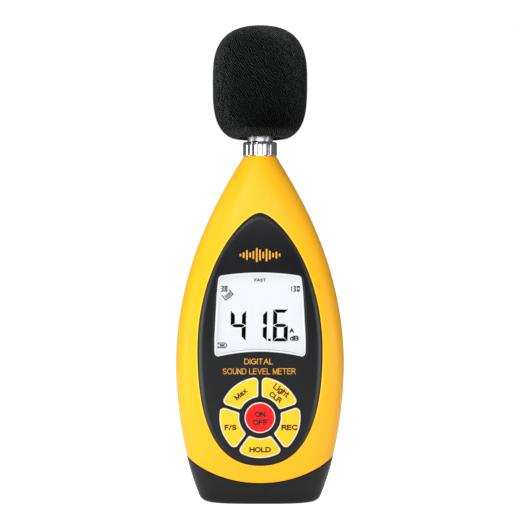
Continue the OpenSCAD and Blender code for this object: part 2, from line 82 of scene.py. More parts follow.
# Front: heights above the casing's skin, then half widths and levels
PANEL_A = panel_high[0]
PANEL_PROUD, PANEL_SUNK = 0.9, 0.8
KEY_PROUD = PANEL_PROUD + 0.85
WINDOW_TOP, WINDOW_LOW = (21.5, 116.2), (23.4, 75.3)
WINDOW_ROUND = 2.3
LCD_Y = box_mm("lcd_polariser")[0][1]
KEYS_Z, POWER_R = 44.7, 7.7
RING_IN, RING_OUT, RING_GAP = 10.5, 20.4, 1.8
KEY_ANGLES = {"max_key": 126, "light_key": 54, "rec_key": -18, "hold_key": -90, "speed_key": -162}

# Rear: door with its hinge bead and hooks, battery bay, screws, insert and calibration hole
DOOR_A, DOOR_LOW, DOOR_HIGH, DOOR_T = 15.9, 19.0, 82.0, 2.0
HINGE_R, HINGE_Y, HINGE_Z = 1.0, 16.986, 20.0
HOOK_X, THUMB_X = 8.0, 7
BAY_A, BAY_WALL, BAY_FOOT = 13.9, 1.8, 3.9
BAY_LOW, BAY_HIGH, BAY_FLOOR_Y = 21.7, 80.6, -2.3
SCREWS_AT = [(-36, 50), (36, 50), (-15, 146), (15, 146)]
SCREW_SEAT, SCREW_HEAD_R = 9.5, 3.2
TRIM_AT, TRIM_R = (12, 122), 1.6
TRIPOD_Z, INSERT_SEAT_R = (insert_low[2] + insert_high[2]) / 2, 4.75
OUTSIDE = 26  # a depth past the casing, for cutters

# Collar and sleeve
THREAD_PITCH, THREAD_TURNS = 0.75, 9


# ---------------------------------------------------------------- casing shape
def bezier(points, t):
    p = np.asarray(points, float)
    t = np.asarray(t, float)[:, None]
    return ((1 - t) ** 3 * p[0] + 3 * t * (1 - t) ** 2 * p[1]
            + 3 * t * t * (1 - t) * p[2] + t ** 3 * p[3])


# Guide curves of half width, half depth and level: neck to waist, then waist to base
UPPER = [(NECK_R, NECK_R, NECK_Z), (NECK_R + 8.5, 17, NECK_Z - 14),
         (WAIST_A, WAIST_B + 0.9, WAIST_Z + 54.2), (WAIST_A, WAIST_B, WAIST_Z)]
LOWER = [(WAIST_A, WAIST_B, WAIST_Z), (WAIST_A, WAIST_B, WAIST_Z - 5),
         (WAIST_A - 0.5, WAIST_B - 0.3, 28.5), (BASE_A, BASE_B, 0)]
steps = np.linspace(0, 1, 3000)
SECTIONS = np.vstack([bezier(UPPER, steps), bezier(LOWER, steps)])[::-1]


def half_width(z):
    return np.interp(z, SECTIONS[:, 2], SECTIONS[:, 0])


def half_depth(z):
    return np.interp(z, SECTIONS[:, 2], SECTIONS[:, 1])


def power_at(z):
    u = np.clip((NECK_Z - np.asarray(z, float)) / SQUARE_RUN, 0, 1)
    return 2 + (WAIST_POWER - 2) * u * u * (3 - 2 * u)


def skin(beta, z, d, side):
    """Points of the casing grown by d, at angle beta from +X towards the front or rear."""
    n = power_at(z)
    c, s = np.cos(beta), np.sin(beta)
    rho = (np.abs(c) ** n + np.abs(s) ** n) ** (-1 / n)
    x = (half_width(z) + d) * rho * c
    y = side * (half_depth(z) + d) * rho * s
    return np.stack([x, y, np.broadcast_to(z, x.shape)], axis=-1)


def skin_y(x, z, d, side=-1):
    """Y of the casing grown by d above a point in X and Z."""
    n = power_at(z)
    share = np.clip(np.abs(x) / (half_width(z) + d), 0, 1)
    return side * (half_depth(z) + d) * (1 - share ** n) ** (1 / n)


def to_map(outline):
    """An outline on a casing half unrolled to a flat map: across is the angle beta, up is z."""
    x, z = outline[:, 0], outline[:, 1]
    n = power_at(z)
    share = np.clip(np.abs(x) / half_width(z), 0, 1)
    beta = np.arctan2((1 - share ** n) ** (1 / n), share)
    beta = np.where(x < 0, np.pi - beta, beta)
    return np.stack([(np.pi / 2 - beta) * SPAN / (np.pi / 2), z], axis=1)


def angle_at(across):
    """The angle beta at a place across the map."""
    return np.pi / 2 - across / SPAN * (np.pi / 2)


def from_map(points, d, side):
    return skin(angle_at(points[:, 0]), points[:, 1], d, side)


def heights_on_arc(x_at, count, r):
    """Levels at which the casing meets the boot's arc of radius r; x_at gives X at each level.

    X depends on the level and the level on X, so both are worked out in turn until they settle.
    """
    z = np.full(count, 15.0)
    for _ in range(30):
        x = x_at(z)
        z = ARC_CENTRE - np.sqrt(np.maximum(r * r - x * x, 0))
    return z


def edge_map(inset, counts=(120, 56, 120, 90)):
    """The outer edge of a casing half on the map, moved in by inset; counts are points a side."""
    right, top, left, bottom = counts
    reach = SPAN - inset

    def arc_z(across):
        beta = angle_at(across)
        return heights_on_arc(lambda z: skin(beta, z, 0, -1)[:, 0], len(across), ARC_R - inset)
    side_low = float(arc_z(np.array([reach]))[0])
    high = NECK_Z - inset
    rise = np.linspace(side_low, high, right, endpoint=False)
    across = np.linspace(reach, -reach, top, endpoint=False)
    fall = np.linspace(high, side_low, left, endpoint=False)
    along = np.linspace(-reach, reach, bottom, endpoint=False)
    return np.vstack([
        np.stack([np.full(right, reach), rise], 1),
        np.stack([across, np.full(top, high)], 1),
        np.stack([np.full(left, -reach), fall], 1),
        np.stack([along, arc_z(along)], 1)])


def rays_from(centre, loop):
    """The angle of each of a loop's points about a centre."""
    v = loop - np.asarray(centre)
    return np.arctan2(v[:, 1], v[:, 0])


def reach_along(centre, loop, angles):
    """Distance from centre to a closed loop along each ray."""
    angle, radius = rays_from(centre, loop), np.hypot(*(loop - np.asarray(centre)).T)
    order = np.argsort(angle)
    return np.interp(angles, angle[order], radius[order], period=2 * np.pi)


def dense(loop, n=2400):
    """The same closed loop with n points, evenly spaced."""
    closed = np.vstack([loop, loop[:1]])
    run = np.concatenate([[0], np.cumsum(np.hypot(*np.diff(closed, axis=0).T))])
    at = np.linspace(0, run[-1], n, endpoint=False)
    return np.stack([np.interp(at, run, closed[:, i]) for i in (0, 1)], 1)


def annulus(centre, angles, inner, outer, fill, back, back_fill, side):
    """Closed loops over the map: inner rows, fill rows, outer rows, and back along the inside.

    A row is an outline on the map and its height; back is the height of the inside face.
    """
    def along_rays(rows):
        return [(reach_along(centre, dense(outline, 6000), angles), d) for outline, d in rows]
    inner, outer = along_rays(inner), along_rays(outer)
    (near, near_d), (far, far_d) = inner[-1], outer[0]
    middle = [(near + (far - near) * t, near_d + (far_d - near_d) * t)
              for t in np.linspace(0, 1, fill + 2)[1:-1]]
    last, first = outer[-1][0], inner[0][0]
    inside = [(last + (first - last) * t, back) for t in np.linspace(0, 1, back_fill + 2)]
    direction = np.stack([np.cos(angles), np.sin(angles)], 1)
    return [from_map(np.asarray(centre) + direction * radius[:, None], d, side)
            for radius, d in inner + middle + outer + inside]


# ---------------------------------------------------------------- outlines in X and Z
def panel_outline(d):
    """A pointed oval, grown by d: two curves a side that meet at the widest level."""
    t = np.linspace(0, 1, 160)
    low, wide_at, high, a = 20.3 - d, 78.2, 147.7 + d, PANEL_A + d
    side = np.vstack([
        bezier([(0, low), (13.7, low), (a, 27.7), (a, wide_at)], t),
        bezier([(a, wide_at), (a, 123), (7.6, high), (0, high)], t)[1:]])
    return np.vstack([side, side[-2:0:-1] * (-1, 1)])


def arc(centre, r, start, end, n):
    a = np.radians(np.linspace(start, end, n))
    return np.stack([centre[0] + r * np.cos(a), centre[1] + r * np.sin(a)], 1)


def window_outline(d):
    """A tapered window with round corners and arched ends, grown by d."""
    r = WINDOW_ROUND + d
    tx, tz = WINDOW_TOP[0] - WINDOW_ROUND, WINDOW_TOP[1] - WINDOW_ROUND
    lx, lz = WINDOW_LOW[0] - WINDOW_ROUND, WINDOW_LOW[1] + WINDOW_ROUND

    def arched(a, z, rise):
        x = np.linspace(a, -a, 42)[1:-1]
        return np.stack([x, z + rise * (1 - x * x / (a * a))], 1)
    return np.vstack([
        arc((tx, tz), r, 0, 85, 12), arched(tx, tz + r, 1.5),
        arc((-tx, tz), r, 95, 180, 12), arc((-lx, lz), r, 180, 265, 12),
        arched(lx, lz - r, 2.5)[::-1], arc((lx, lz), r, 275, 360, 12)])


def ring_key_outline(angle, d, detail=12):
    """A ring key's outline, grown by d, with its middle at that angle."""
    half, half_gap = 180 / len(KEY_ANGLES), RING_GAP / 2 - d
    outer_r, inner_r = RING_OUT + d, RING_IN - d
    outer_corner, inner_corner = 2.2 + d, 1.2 + d
    out, inn = outer_r - outer_corner, inner_r + inner_corner
    out_at = half - math.degrees(math.asin((half_gap + outer_corner) / out))
    inn_at = half - math.degrees(math.asin((half_gap + inner_corner) / inn))

    def polar(r, a):
        return r * math.cos(math.radians(a)), r * math.sin(math.radians(a))
    upper = np.vstack([
        arc((0, 0), outer_r, 0, out_at, detail),
        arc(polar(out, out_at), outer_corner, out_at, half + 90, detail)[1:],
        arc(polar(inn, inn_at), inner_corner, half + 90, inn_at + 180, detail),
        arc((0, 0), inner_r, inn_at, 0, detail)[1:]])
    whole = np.vstack([upper, upper[-2:0:-1] * (1, -1)])
    c, s = math.cos(math.radians(angle)), math.sin(math.radians(angle))
    return np.stack([whole[:, 0] * c - whole[:, 1] * s,
                     KEYS_Z + whole[:, 0] * s + whole[:, 1] * c], 1)


def power_outline(d):
    return arc((0, KEYS_Z), POWER_R + d, 0, 360, 97)[:-1]


def rect(x0, x1, z0, z1):
    return np.array([(x0, z0), (x1, z0), (x1, z1), (x0, z1)], float)


def plate_outline(a, low, high, r, detail=10):
    """A rectangle with round corners, a to either side."""
    return np.vstack([
        arc((a - r, high - r), r, 0, 90, detail), arc((r - a, high - r), r, 90, 180, detail),
        arc((r - a, low + r), r, 180, 270, detail), arc((a - r, low + r), r, 270, 360, detail)])


def door_outline(d):
    corner = 3 + d
    return plate_outline(DOOR_A + d, DOOR_LOW - d, DOOR_HIGH + d, corner)


# ---------------------------------------------------------------- meshes
def solid(name, verts, faces):
    """A closed mesh in metres with its faces turned outward."""
    mesh = bpy.data.meshes.new(name)
    mesh.from_pydata((np.asarray(verts, float) * MM).tolist(), [], faces)
    mesh.validate()
    bm = bmesh.new()
    bm.from_mesh(mesh)
    bmesh.ops.recalc_face_normals(bm, faces=bm.faces)
    bm.to_mesh(mesh)
    bm.free()
    piece = bpy.data.objects.new(name, mesh)
    bpy.context.scene.collection.objects.link(piece)
    return piece


def dressed(piece, material, body, smooth=35):
    """Gives a finished piece its materials, its shading and the body it rides on."""
    for m in material if isinstance(material, (list, tuple)) else [material]:
        piece.data.materials.append(m)
    shade(piece.data, smooth)
    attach(piece, body)
    return piece


def mesh_piece(name, verts, faces, material, body, smooth=35, marks=None):
    """A dressed solid; marks gives each face's material slot."""
    piece = dressed(solid(name, verts, faces), material, body, smooth)
    if marks is not None:
        piece.data.polygons.foreach_set("material_index", marks)
    return piece


def shade(mesh, angle):
    """Smooth shading, with edges sharper than the angle kept hard."""
    mesh.polygons.foreach_set("use_smooth", [True] * len(mesh.polygons))
    mesh.set_sharp_from_angle(angle=math.radians(angle))
    mesh.update()


def loop_faces(count, n, closed=False):
    """Quads between successive loops of n points."""
    faces = []
    for k in range(count if closed else count - 1):
        a, b = k * n, (k + 1) % count * n
        faces += [(a + i, a + (i + 1) % n, b + (i + 1) % n, b + i) for i in range(n)]
    return faces


def rungs(loop, first):
    """Faces straight across a loop that starts at that vertex, level by level from its top."""
    n = len(loop)
    top = int(np.argmax(loop[:, 2] - 0.01 * np.abs(loop[:, 0])))
    faces = []
    for i in range(n // 2):
        a, b, c, d = (first + (top + k) % n for k in (i, i + 1, -i - 1, -i))
        faces.append(tuple(dict.fromkeys((a, b, c, d))))
    return [f for f in faces if len(f) > 2]


def looped(name, loops, material, body, closed=False, caps=(False, False), smooth=35, marks=None):
    """A skin over equal loops; a cap closes an end with a fan to its middle, or with rungs."""
    n = len(loops[0])
    verts = np.vstack(loops)
    faces = loop_faces(len(loops), n, closed)
    owners = None if marks is None else [m for m in marks for _ in range(n)]
    for end, wanted in zip((0, len(loops) - 1), caps):
        if wanted == "rungs":
            faces += rungs(loops[end], end * n)
        elif wanted:
            verts = np.vstack([verts, loops[end].mean(0)])
            tip = len(verts) - 1
            faces += [(end * n + i, end * n + (i + 1) % n, tip) for i in range(n)]
            if owners is not None:
                owners += [marks[0 if end == 0 else -1]] * n
    return mesh_piece(name, verts, faces, material, body, smooth, owners)


def lathe(name, profile, material, body, turns=128, smooth=35, wave=None, centre=(0, 0), along_y=False):
    """Turns a closed (radius, height) profile about Z or Y; wave bends the radius by angle."""
    a = np.linspace(0, 2 * np.pi, turns, endpoint=False)
    loops = []
    for r, height in profile:
        rr = r if wave is None else wave(r, a)
        across = centre[0] + rr * np.cos(a), centre[1] + rr * np.sin(a)
        level = np.full(turns, float(height))
        loops.append(np.stack([across[0], level, across[1]] if along_y else [*across, level], 1))
    return looped(name, loops, material, body, closed=True, smooth=smooth)


def raised(outline, d):
    """An X-Z outline put on the casing grown by d, on the front."""
    return np.stack([outline[:, 0], skin_y(outline[:, 0], outline[:, 1], d), outline[:, 1]], 1)


def flat(outline, y):
    """An X-Z outline in the plane at y."""
    return np.stack([outline[:, 0], np.full(len(outline), float(y)), outline[:, 1]], 1)


def rounding(r, n=4):
    """Steps round an edge of radius r: (in from the edge, down from the top)."""
    q = np.radians(np.linspace(0, 90, n + 1))
    return [(r * (1 - math.sin(a)), r * (1 - math.cos(a))) for a in q]


def prism(name, outline, y0, y1):
    """A plain solid through the object along Y."""
    n = len(outline)
    verts = np.vstack([flat(outline, y0), flat(outline, y1)])
    return solid(name, verts, loop_faces(2, n) + [tuple(range(n)), tuple(range(n, 2 * n))])


def bar(name, half, y, z, r, n=32):
    """A round bar along X, from -half to half."""
    ring = circle_outline((y, z), r, n)
    verts = np.vstack([np.column_stack([np.full(n, float(end)), ring]) for end in (-half, half)])
    return solid(name, verts, loop_faces(2, n) + [tuple(range(n)), tuple(range(n, 2 * n))])


def cut(piece, cutters, smooth=35, operation="DIFFERENCE"):
    """Cuts solids out of a piece, joins them to it or keeps what is inside them; they are used up."""
    for cutter in cutters:
        modifier = piece.modifiers.new("cut", "BOOLEAN")
        modifier.operation = operation
        modifier.solver = "EXACT"
        modifier.object = cutter
        bpy.context.view_layer.update()
        graph = bpy.context.evaluated_depsgraph_get()
        made = bpy.data.meshes.new_from_object(piece.evaluated_get(graph))
        piece.modifiers.clear()
        old = piece.data
        piece.data = made
        made.name = old.name
        bpy.data.meshes.remove(old)
        bpy.data.objects.remove(cutter)
    shade(piece.data, smooth)
    return piece


def circle_outline(at, r, n=48):
    return arc(at, r, 0, 360, n + 1)[:-1]


# ---------------------------------------------------------------- materials
class Look:
    """A material, with helpers that add nodes to it and return one output."""

    def __init__(self, name):
        self.material = bpy.data.materials.new(name)
        self.material.use_nodes = True
        self.shader = self.material.node_tree.nodes["Principled BSDF"]
        self.where = self.node("TexCoord", "Object")

    def fill(self, node, inputs):
        """Gives each input its value, or a link where the value is another node's output."""
        for socket, value in inputs.items():
            if isinstance(value, bpy.types.NodeSocket):
                self.material.node_tree.links.new(value, node.inputs[socket])
            else:
                node.inputs[socket].default_value = value

    def paint(self, inputs):
        """Sets the shader's inputs."""
        self.fill(self.shader, inputs)

    def node(self, kind, output, inputs=None, **settings):
        """Adds a shader node with its settings and inputs, and returns one of its outputs."""
        made = self.material.node_tree.nodes.new("ShaderNode" + kind)
        for setting, value in settings.items():
            setattr(made, setting, value)
        self.fill(made, inputs or {})
        return made.outputs[output]

    def noise(self, size, detail=3.0, rough=0.55, stretch=(1, 1, 1)):
        """Noise from 0 to 1 whose grains have that size; stretch scales its coordinates."""
        where = self.node("Mapping", "Vector", {"Scale": stretch, "Vector": self.where})
        return self.node("TexNoise", "Fac", {"Scale": 1 / (size * MM), "Detail": detail,
                                             "Roughness": rough, "Vector": where})

    def spread(self, value, low, high, from_low=0.3, from_high=0.7):
        """Maps the range from_low to from_high of a value to low to high."""
        return self.node("MapRange", "Result", {"From Min": from_low, "From Max": from_high,
                                                "To Min": low, "To Max": high, "Value": value})

    def tint(self, share, dark, light):
        """Mixes two colours by a share."""
        return self.node("Mix", 2, {0: share, 6: (*dark, 1), 7: (*light, 1)}, data_type="RGBA")

    def maths(self, operation, a, b):
        return self.node("Math", 0, {0: a, 1: b}, operation=operation)

    def bump(self, height, depth):
        """Relief, depth millimetres deep."""
        relief = self.node("Bump", "Normal", {"Strength": 1.0, "Distance": depth * MM, "Height": height})
        self.paint({"Normal": relief})


def moulded_look(name, color, rough, grain=0.012, grain_size=0.35, vary=0.06, metal=0.0, **sockets):
    """Moulded or plated surface: slight colour drift, uneven gloss and a fine grain."""
    look = Look(name)
    light = tuple(min(1.0, c * (1 + vary)) for c in color)
    dark = tuple(c * (1 - vary) for c in color)
    look.paint({"Base Color": look.tint(look.spread(look.noise(18, 4), 0, 1), dark, light),
                "Roughness": look.spread(look.noise(6, 5, 0.6), rough - 0.05, rough + 0.05),
                "Metallic": metal})
    look.bump(look.noise(grain_size, 2), grain)
    look.paint({socket.replace("_", " "): value for socket, value in sockets.items()})
    return look


def moulded(*values, **options):
    return moulded_look(*values, **options).material


def glowing(name, color, glow, strength):
    """A lit surface with a faint haze."""
    look = Look(name)
    look.paint({"Base Color": look.tint(look.noise(9, 2), tuple(c * 0.98 for c in color), color),
                "Roughness": 0.5, "Emission Color": (*glow, 1), "Emission Strength": strength})
    return look.material


def brushed(name, color, rough):
    """Turned or brushed metal with fine lines round the Z axis."""
    look = Look(name)
    lines = look.noise(0.5, 3, 0.6, (0.05, 0.05, 4))
    look.paint({"Base Color": look.tint(lines, tuple(c * 0.92 for c in color), color),
                "Roughness": look.spread(lines, rough * 0.7, rough * 1.3), "Metallic": 1.0})
    look.bump(lines, 0.004)
    return look.material


def foam_material(name):
    """Fine open-cell foam: pale strands over dark pores, in creases that wind down to the right.

    The creases are a wave on the foam's skin unrolled round Z. The base colour is darker in the
    crease hollows and pores, painted shade, and paler towards the top, painted light from above,
    and under the lower edge, a painted sheen.
    """
    mean_radius, slant, pitch = 23, 38, 1.0
    look = Look(name)
    x, y, z = (look.node("SeparateXYZ", axis, {0: look.where}) for axis in range(3))
    turn = look.maths("ARCTAN2", x, look.maths("MULTIPLY", y, -1.0))
    unrolled = look.node("CombineXYZ", 0, {0: look.maths("MULTIPLY", turn, mean_radius * MM), 2: z})
    slanted = look.node("Mapping", 0, {"Rotation": (0, math.radians(slant), 0), "Vector": unrolled})
    creases = look.node("TexWave", "Fac", {
        "Scale": 2 * math.pi / (20 * pitch * MM), "Distortion": 9, "Detail": 2, "Detail Scale": 0.8,
        "Detail Roughness": 0.6, "Vector": slanted})
    pores = look.noise(0.5, 2, 0.6)
    height = look.spread(look.node("Mix", 0, {0: 0.48, 2: creases, 3: pores}), 0, 1, 0.35, 0.8)
    # painted light and shade: the base colour is darker in crease hollows and pores, paler towards the
    # top, and paler still under the lower edge as a painted sheen
    upper = look.spread(z, 0.3, 1.3, 190 * MM, 226 * MM)
    under = look.spread(z, 6, 0, 187 * MM, 191.5 * MM)
    pale = look.maths("MULTIPLY", look.maths("POWER", height, 2.0), look.maths("MAXIMUM", upper, under))
    look.paint({"Base Color": look.tint(pale, (0.0006, 0.0006, 0.0006), (0.026, 0.0276, 0.0283)),
                "Roughness": look.spread(creases, 0.95, 0.7), "Specular IOR Level": 0.02,
                "Sheen Weight": 0.12, "Sheen Roughness": 0.25, "Sheen Tint": (0.75, 0.78, 0.8, 1)})
    look.bump(height, 0.3)
    return look.material


def clear_material(name, color, alpha, rough):
    """Clear plastic or glass with faint smears."""
    look = Look(name)
    look.paint({"Base Color": (*color, 1), "Alpha": alpha, "Specular IOR Level": 0.3,
                "Roughness": look.spread(look.noise(12, 3), rough, rough + 0.04)})
    return look.material


PANEL_BLACK = (0.0052, 0.0056, 0.0066)


def rim_highlight_material(name, grey):
    """The panel's rolled edge, with a painted highlight: its base colour is paler along the sides than at
    the foot and the tip.
    """
    look = moulded_look(name, PANEL_BLACK, 0.34, grain=0.004, vary=0.1, Specular_IOR_Level=0.35)
    z = look.node("SeparateXYZ", 2, {0: look.where})
    foot = look.spread(z, 0, 1, 28 * MM, 62 * MM)
    tip = look.spread(z, 1, 0.25, 105 * MM, 135 * MM)
    # painted highlight: the grey base colour stands for light caught on the rolled edge
    edge = look.tint(look.maths("MULTIPLY", foot, tip), PANEL_BLACK, (0.85 * grey, grey, 1.04 * grey))
    look.paint({"Base Color": edge})
    return look.material


yellow = moulded("yellow_plastic", (0.95, 0.455, 0.007), 0.38, grain=0.006, vary=0.015,
                 Specular_IOR_Level=0.3)
# painted highlight: a paler, glossier yellow for the rounded lip round the panel, where light catches the
# edge
yellow_edge = moulded("yellow_edge", (1.0, 0.56, 0.02), 0.3, grain=0.003, vary=0.01)
# painted highlight: greys that grow paler towards the panel's rolled edge
panel_rim_highlights = [rim_highlight_material(f"panel_rim_highlight_{i}", grey)
               for i, grey in enumerate((0.018, 0.034, 0.05, 0.054))]
black_panel = moulded("black_panel", PANEL_BLACK, 0.36, grain=0.004, vary=0.1,
                      Specular_IOR_Level=0.3)
black_boot = moulded("black_boot", (0.0065, 0.0071, 0.0084), 0.45, grain=0.01, grain_size=0.5,
                     vary=0.12, Specular_IOR_Level=0.3)
key_yellow = moulded("key_yellow", (0.94, 0.515, 0.012), 0.42, grain=0.003, vary=0.02,
                     Specular_IOR_Level=0.3)
key_red = moulded("key_red", (0.82, 0.006, 0.004), 0.42, grain=0.003, vary=0.03,
                  Specular_IOR_Level=0.25)
key_white = moulded("key_white", (0.7, 0.71, 0.71), 0.35, grain=0.002, vary=0.02)
print_orange = moulded("print_orange", (0.74, 0.345, 0.02), 0.5, grain=0.002, vary=0.05)
print_dark = moulded("print_dark", (0.008, 0.005, 0.004), 0.55, grain=0.002, vary=0.1)
print_red_dark = moulded("print_red_dark", (0.012, 0.0015, 0.0015), 0.5, grain=0.002, vary=0.1)
window_clear = clear_material("window_clear", (0.01, 0.012, 0.014), 0.02, 0.03)
lcd_white = glowing("lcd_white", (0.18, 0.19, 0.2), (0.93, 0.96, 1.0), 0.73)
# painted highlight: the display's own pale border glows brighter than the display, for the highlight on
# the window's edge
lcd_border_highlight = glowing("lcd_border_highlight", (0.2, 0.21, 0.22), (0.96, 0.98, 1.0), 0.81)
lcd_ink = moulded("lcd_ink", (0.0008, 0.0008, 0.001), 0.8, grain=0.001, vary=0.1,
                  Specular_IOR_Level=0.05)
chrome = moulded("chrome", (0.86, 0.87, 0.89), 0.17, grain=0.0003, vary=0.02, metal=1.0)
satin_chrome = moulded("satin_chrome", (0.8, 0.81, 0.83), 0.32, grain=0.0003, vary=0.02,
                       metal=1.0)
steel_turned = brushed("steel_turned", (0.75, 0.76, 0.78), 0.2)
foam_black = foam_material("foam_black")
brass = brushed("brass", (0.78, 0.5, 0.2), 0.25)
steel = brushed("steel", (0.6, 0.6, 0.62), 0.28)
rubber_black = moulded("rubber_black", (0.015, 0.015, 0.016), 0.75, grain=0.03, vary=0.15)
board_green = moulded("board_green", (0.012, 0.11, 0.045), 0.35, grain=0.006, vary=0.12)
chip_black = moulded("chip_black", (0.013, 0.013, 0.014), 0.5, grain=0.01, vary=0.1)
part_white = moulded("part_white", (0.78, 0.77, 0.72), 0.5, grain=0.01, vary=0.03)
glass_pale = clear_material("glass_pale", (0.85, 0.93, 0.92), 0.35, 0.02)
silicone = moulded("silicone_grey", (0.35, 0.35, 0.33), 0.6, grain=0.02, vary=0.05)
zebra_pink = moulded("zebra_pink", (0.75, 0.28, 0.38), 0.6, grain=0.02, vary=0.08)
cap_blue = moulded("capacitor_blue", (0.03, 0.045, 0.16), 0.3, grain=0.004, vary=0.08)
trimmer_blue = moulded("trimmer_blue", (0.015, 0.07, 0.4), 0.35, grain=0.004, vary=0.06)
lead_red = moulded("lead_red", (0.55, 0.012, 0.012), 0.5, grain=0.01, vary=0.08)
lead_grey = moulded("lead_grey", (0.09, 0.09, 0.095), 0.55, grain=0.01, vary=0.08)
can_wrap = moulded("can_wrap", (0.05, 0.09, 0.14), 0.3, grain=0.006, vary=0.08, metal=0.4)
led_lens = glowing("led_lens", (0.95, 0.92, 0.7), (1.0, 0.97, 0.85), 0.6)

# Looks of the inner nodes, which keep their CAD meshes
CAD_LOOKS = {
    "display_gasket": rubber_black, "lcd_polariser": lcd_white, "lcd_front_glass": glass_pale,
    "lcd_rear_glass": glass_pale, "light_guide": glass_pale, "lcd_holder": part_white,
    "backlight_leds": led_lens, "zebra_strip": zebra_pink, "keypad_mat": silicone,
    "main_board": board_green, "board_screws": steel, "processor_chip": chip_black,
    "detector_chip": chip_black, "amplifier_chips": chip_black, "crystal": steel,
    "capacitors": cap_blue, "mic_connector": part_white, "trimmer_body": trimmer_blue,
    "trimmer_rotor": part_white, "sleeve_clip": steel, "preamp_board": board_green,
    "mic_capsule": steel_turned, "mic_grid": steel_turned, "mic_lead": lead_grey,
    "battery_pad": rubber_black, "battery_terminals": steel, "battery_clip": rubber_black,
    "battery_lead_red": lead_red, "battery_lead_black": rubber_black, "housing_screws": steel,
}
for node_name, look in CAD_LOOKS.items():
    node_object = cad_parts[node_name]
    node_object.data.materials.clear()
    node_object.data.materials.append(look)


# ---------------------------------------------------------------- casing pieces
def lip_rows(outline, lip, steps=4):
    """Rows of a lip rounded outward round an opening, from the opening's wall up to the skin."""
    return [(to_map(outline(GAP + lip - back)), -down) for back, down in rounding(lip, steps)[::-1]]


def seam_rows():
    """Rows of the rounded outer edge of a casing half."""
    return [(edge_map(back), -down) for back, down in rounding(0.3)]


def make_front_shell():
    """The front half: a ledge under the panel, a rounded lip round it in a paler yellow, a painted
    highlight, and the skin.
    """
    centre = (0, 84)
    angles = rays_from(centre, edge_map(0))
    ledge = [(to_map(panel_outline(d)), -PANEL_SUNK) for d in (-3, GAP)]
    inner = ledge + lip_rows(panel_outline, 0.45)
    loops = annulus(centre, angles, inner, seam_rows(), fill=46, back=-WALL, back_fill=10, side=-1)
    # the lip's rows take the paler yellow, a painted highlight
    marks = [int(len(ledge) <= row < len(inner)) for row in range(len(loops))]
    piece = looped("front_casing", loops, [yellow, yellow_edge], "casing", closed=True, smooth=50,
                   marks=marks)
    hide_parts("front_shell")


def make_rear_shell():
    """The rear half: a ledge under the door, a rounded lip round it, holes and a thumb scoop."""
    centre = (0, (DOOR_LOW + DOOR_HIGH) / 2)
    angles = rays_from(centre, edge_map(0, (170, 70, 170, 120)))
    inner = [(to_map(door_outline(d)), -DOOR_T - 0.1) for d in (-2, GAP)]
    inner += lip_rows(door_outline, 0.3, 3)
    loops = annulus(centre, angles, inner, seam_rows(), fill=60, back=-REAR_WALL, back_fill=10, side=1)
    piece = looped("rear_casing", loops, yellow, "casing", closed=True, smooth=50)
    scoop_r = 4
    scoop = bar("scoop", THUMB_X, WAIST_B + 2.7, DOOR_HIGH + 3.5, scoop_r, 64)
    cut(piece, rear_holes() + hinge_cuts() + [scoop], 50)
    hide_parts("rear_shell")


def rear_holes():
    """Counterbores, the calibration hole and the insert's seat."""
    holes = [prism("hole", circle_outline(at, SCREW_HEAD_R), SCREW_SEAT, OUTSIDE) for at in SCREWS_AT]
    holes.append(prism("hole", circle_outline(TRIM_AT, TRIM_R), -5, OUTSIDE))
    insert_seat = circle_outline((0, TRIPOD_Z), INSERT_SEAT_R)
    holes.append(prism("hole", insert_seat, insert_low[1], OUTSIDE))
    return holes


def hinge_cuts():
    """The groove round the door's hinge and the slots for its two hooks."""
    cuts = [bar("groove", DOOR_A, HINGE_Y, HINGE_Z, HINGE_R + GAP)]
    half, inner_y, high = 2.6, 12, BAY_LOW + 1
    for x in (-HOOK_X, HOOK_X):
        for low, outer_y in ((DOOR_LOW - 0.1, 19), (DOOR_LOW - 2.5, 15.5)):
            cuts.append(prism("slot", rect(x - half, x + half, low, high), inner_y, outer_y))
    return cuts


def casing_core():
    """The space inside the rear casing, a little into its wall so that fittings fuse with it."""
    into_wall, behind_seam = REAR_WALL - 0.1, (0, 4, 0)
    beta = np.linspace(0, np.pi, 97)
    loops = []
    for z in np.linspace(10, NECK_Z - 12, 90):
        half = skin(beta, np.full(beta.shape, z), -into_wall, 1)
        ends = [half[[end]] * (1, 0, 1) - behind_seam for end in (-1, 0)]
        loops.append(np.vstack([half] + ends))
    n = len(loops[0])
    caps = [tuple(range(n)), tuple(range((len(loops) - 1) * n, len(loops) * n))]
    return solid("core", np.vstack(loops), loop_faces(len(loops), n) + caps)


def make_rear_fittings():
    """Battery bay, screw posts and the insert's post inside the rear casing."""
    outer, to_wall, pilot_r = BAY_A + BAY_WALL, 22, 1.6
    bay_block = rect(-outer, outer, BAY_LOW - BAY_FOOT, BAY_HIGH + BAY_WALL)
    piece = prism("rear_fittings", bay_block, BAY_FLOOR_Y - 1.2, to_wall)
    posts = [prism("post", circle_outline(at, 3.6), 0, to_wall) for at in SCREWS_AT]
    posts.append(prism("post", circle_outline((0, TRIPOD_Z), 7.5, 64), 8.5, to_wall))
    posts.append(prism("post", circle_outline(TRIM_AT, 3.2), 1, to_wall))
    cut(piece, posts, operation="UNION")
    cut(piece, [casing_core()], operation="INTERSECT")
    cavities = [prism("bay", rect(-BAY_A, BAY_A, BAY_LOW, BAY_HIGH), BAY_FLOOR_Y, 25),
                prism("wire_way", rect(-6, 6, BAY_HIGH - 1, BAY_HIGH + BAY_WALL + 1), 5, 9.5)]
    cavities += [prism("pilot", circle_outline(at, pilot_r), -1, to_wall) for at in SCREWS_AT]
    cut(piece, cavities + rear_holes() + hinge_cuts())
    dressed(piece, yellow, "casing", 35)


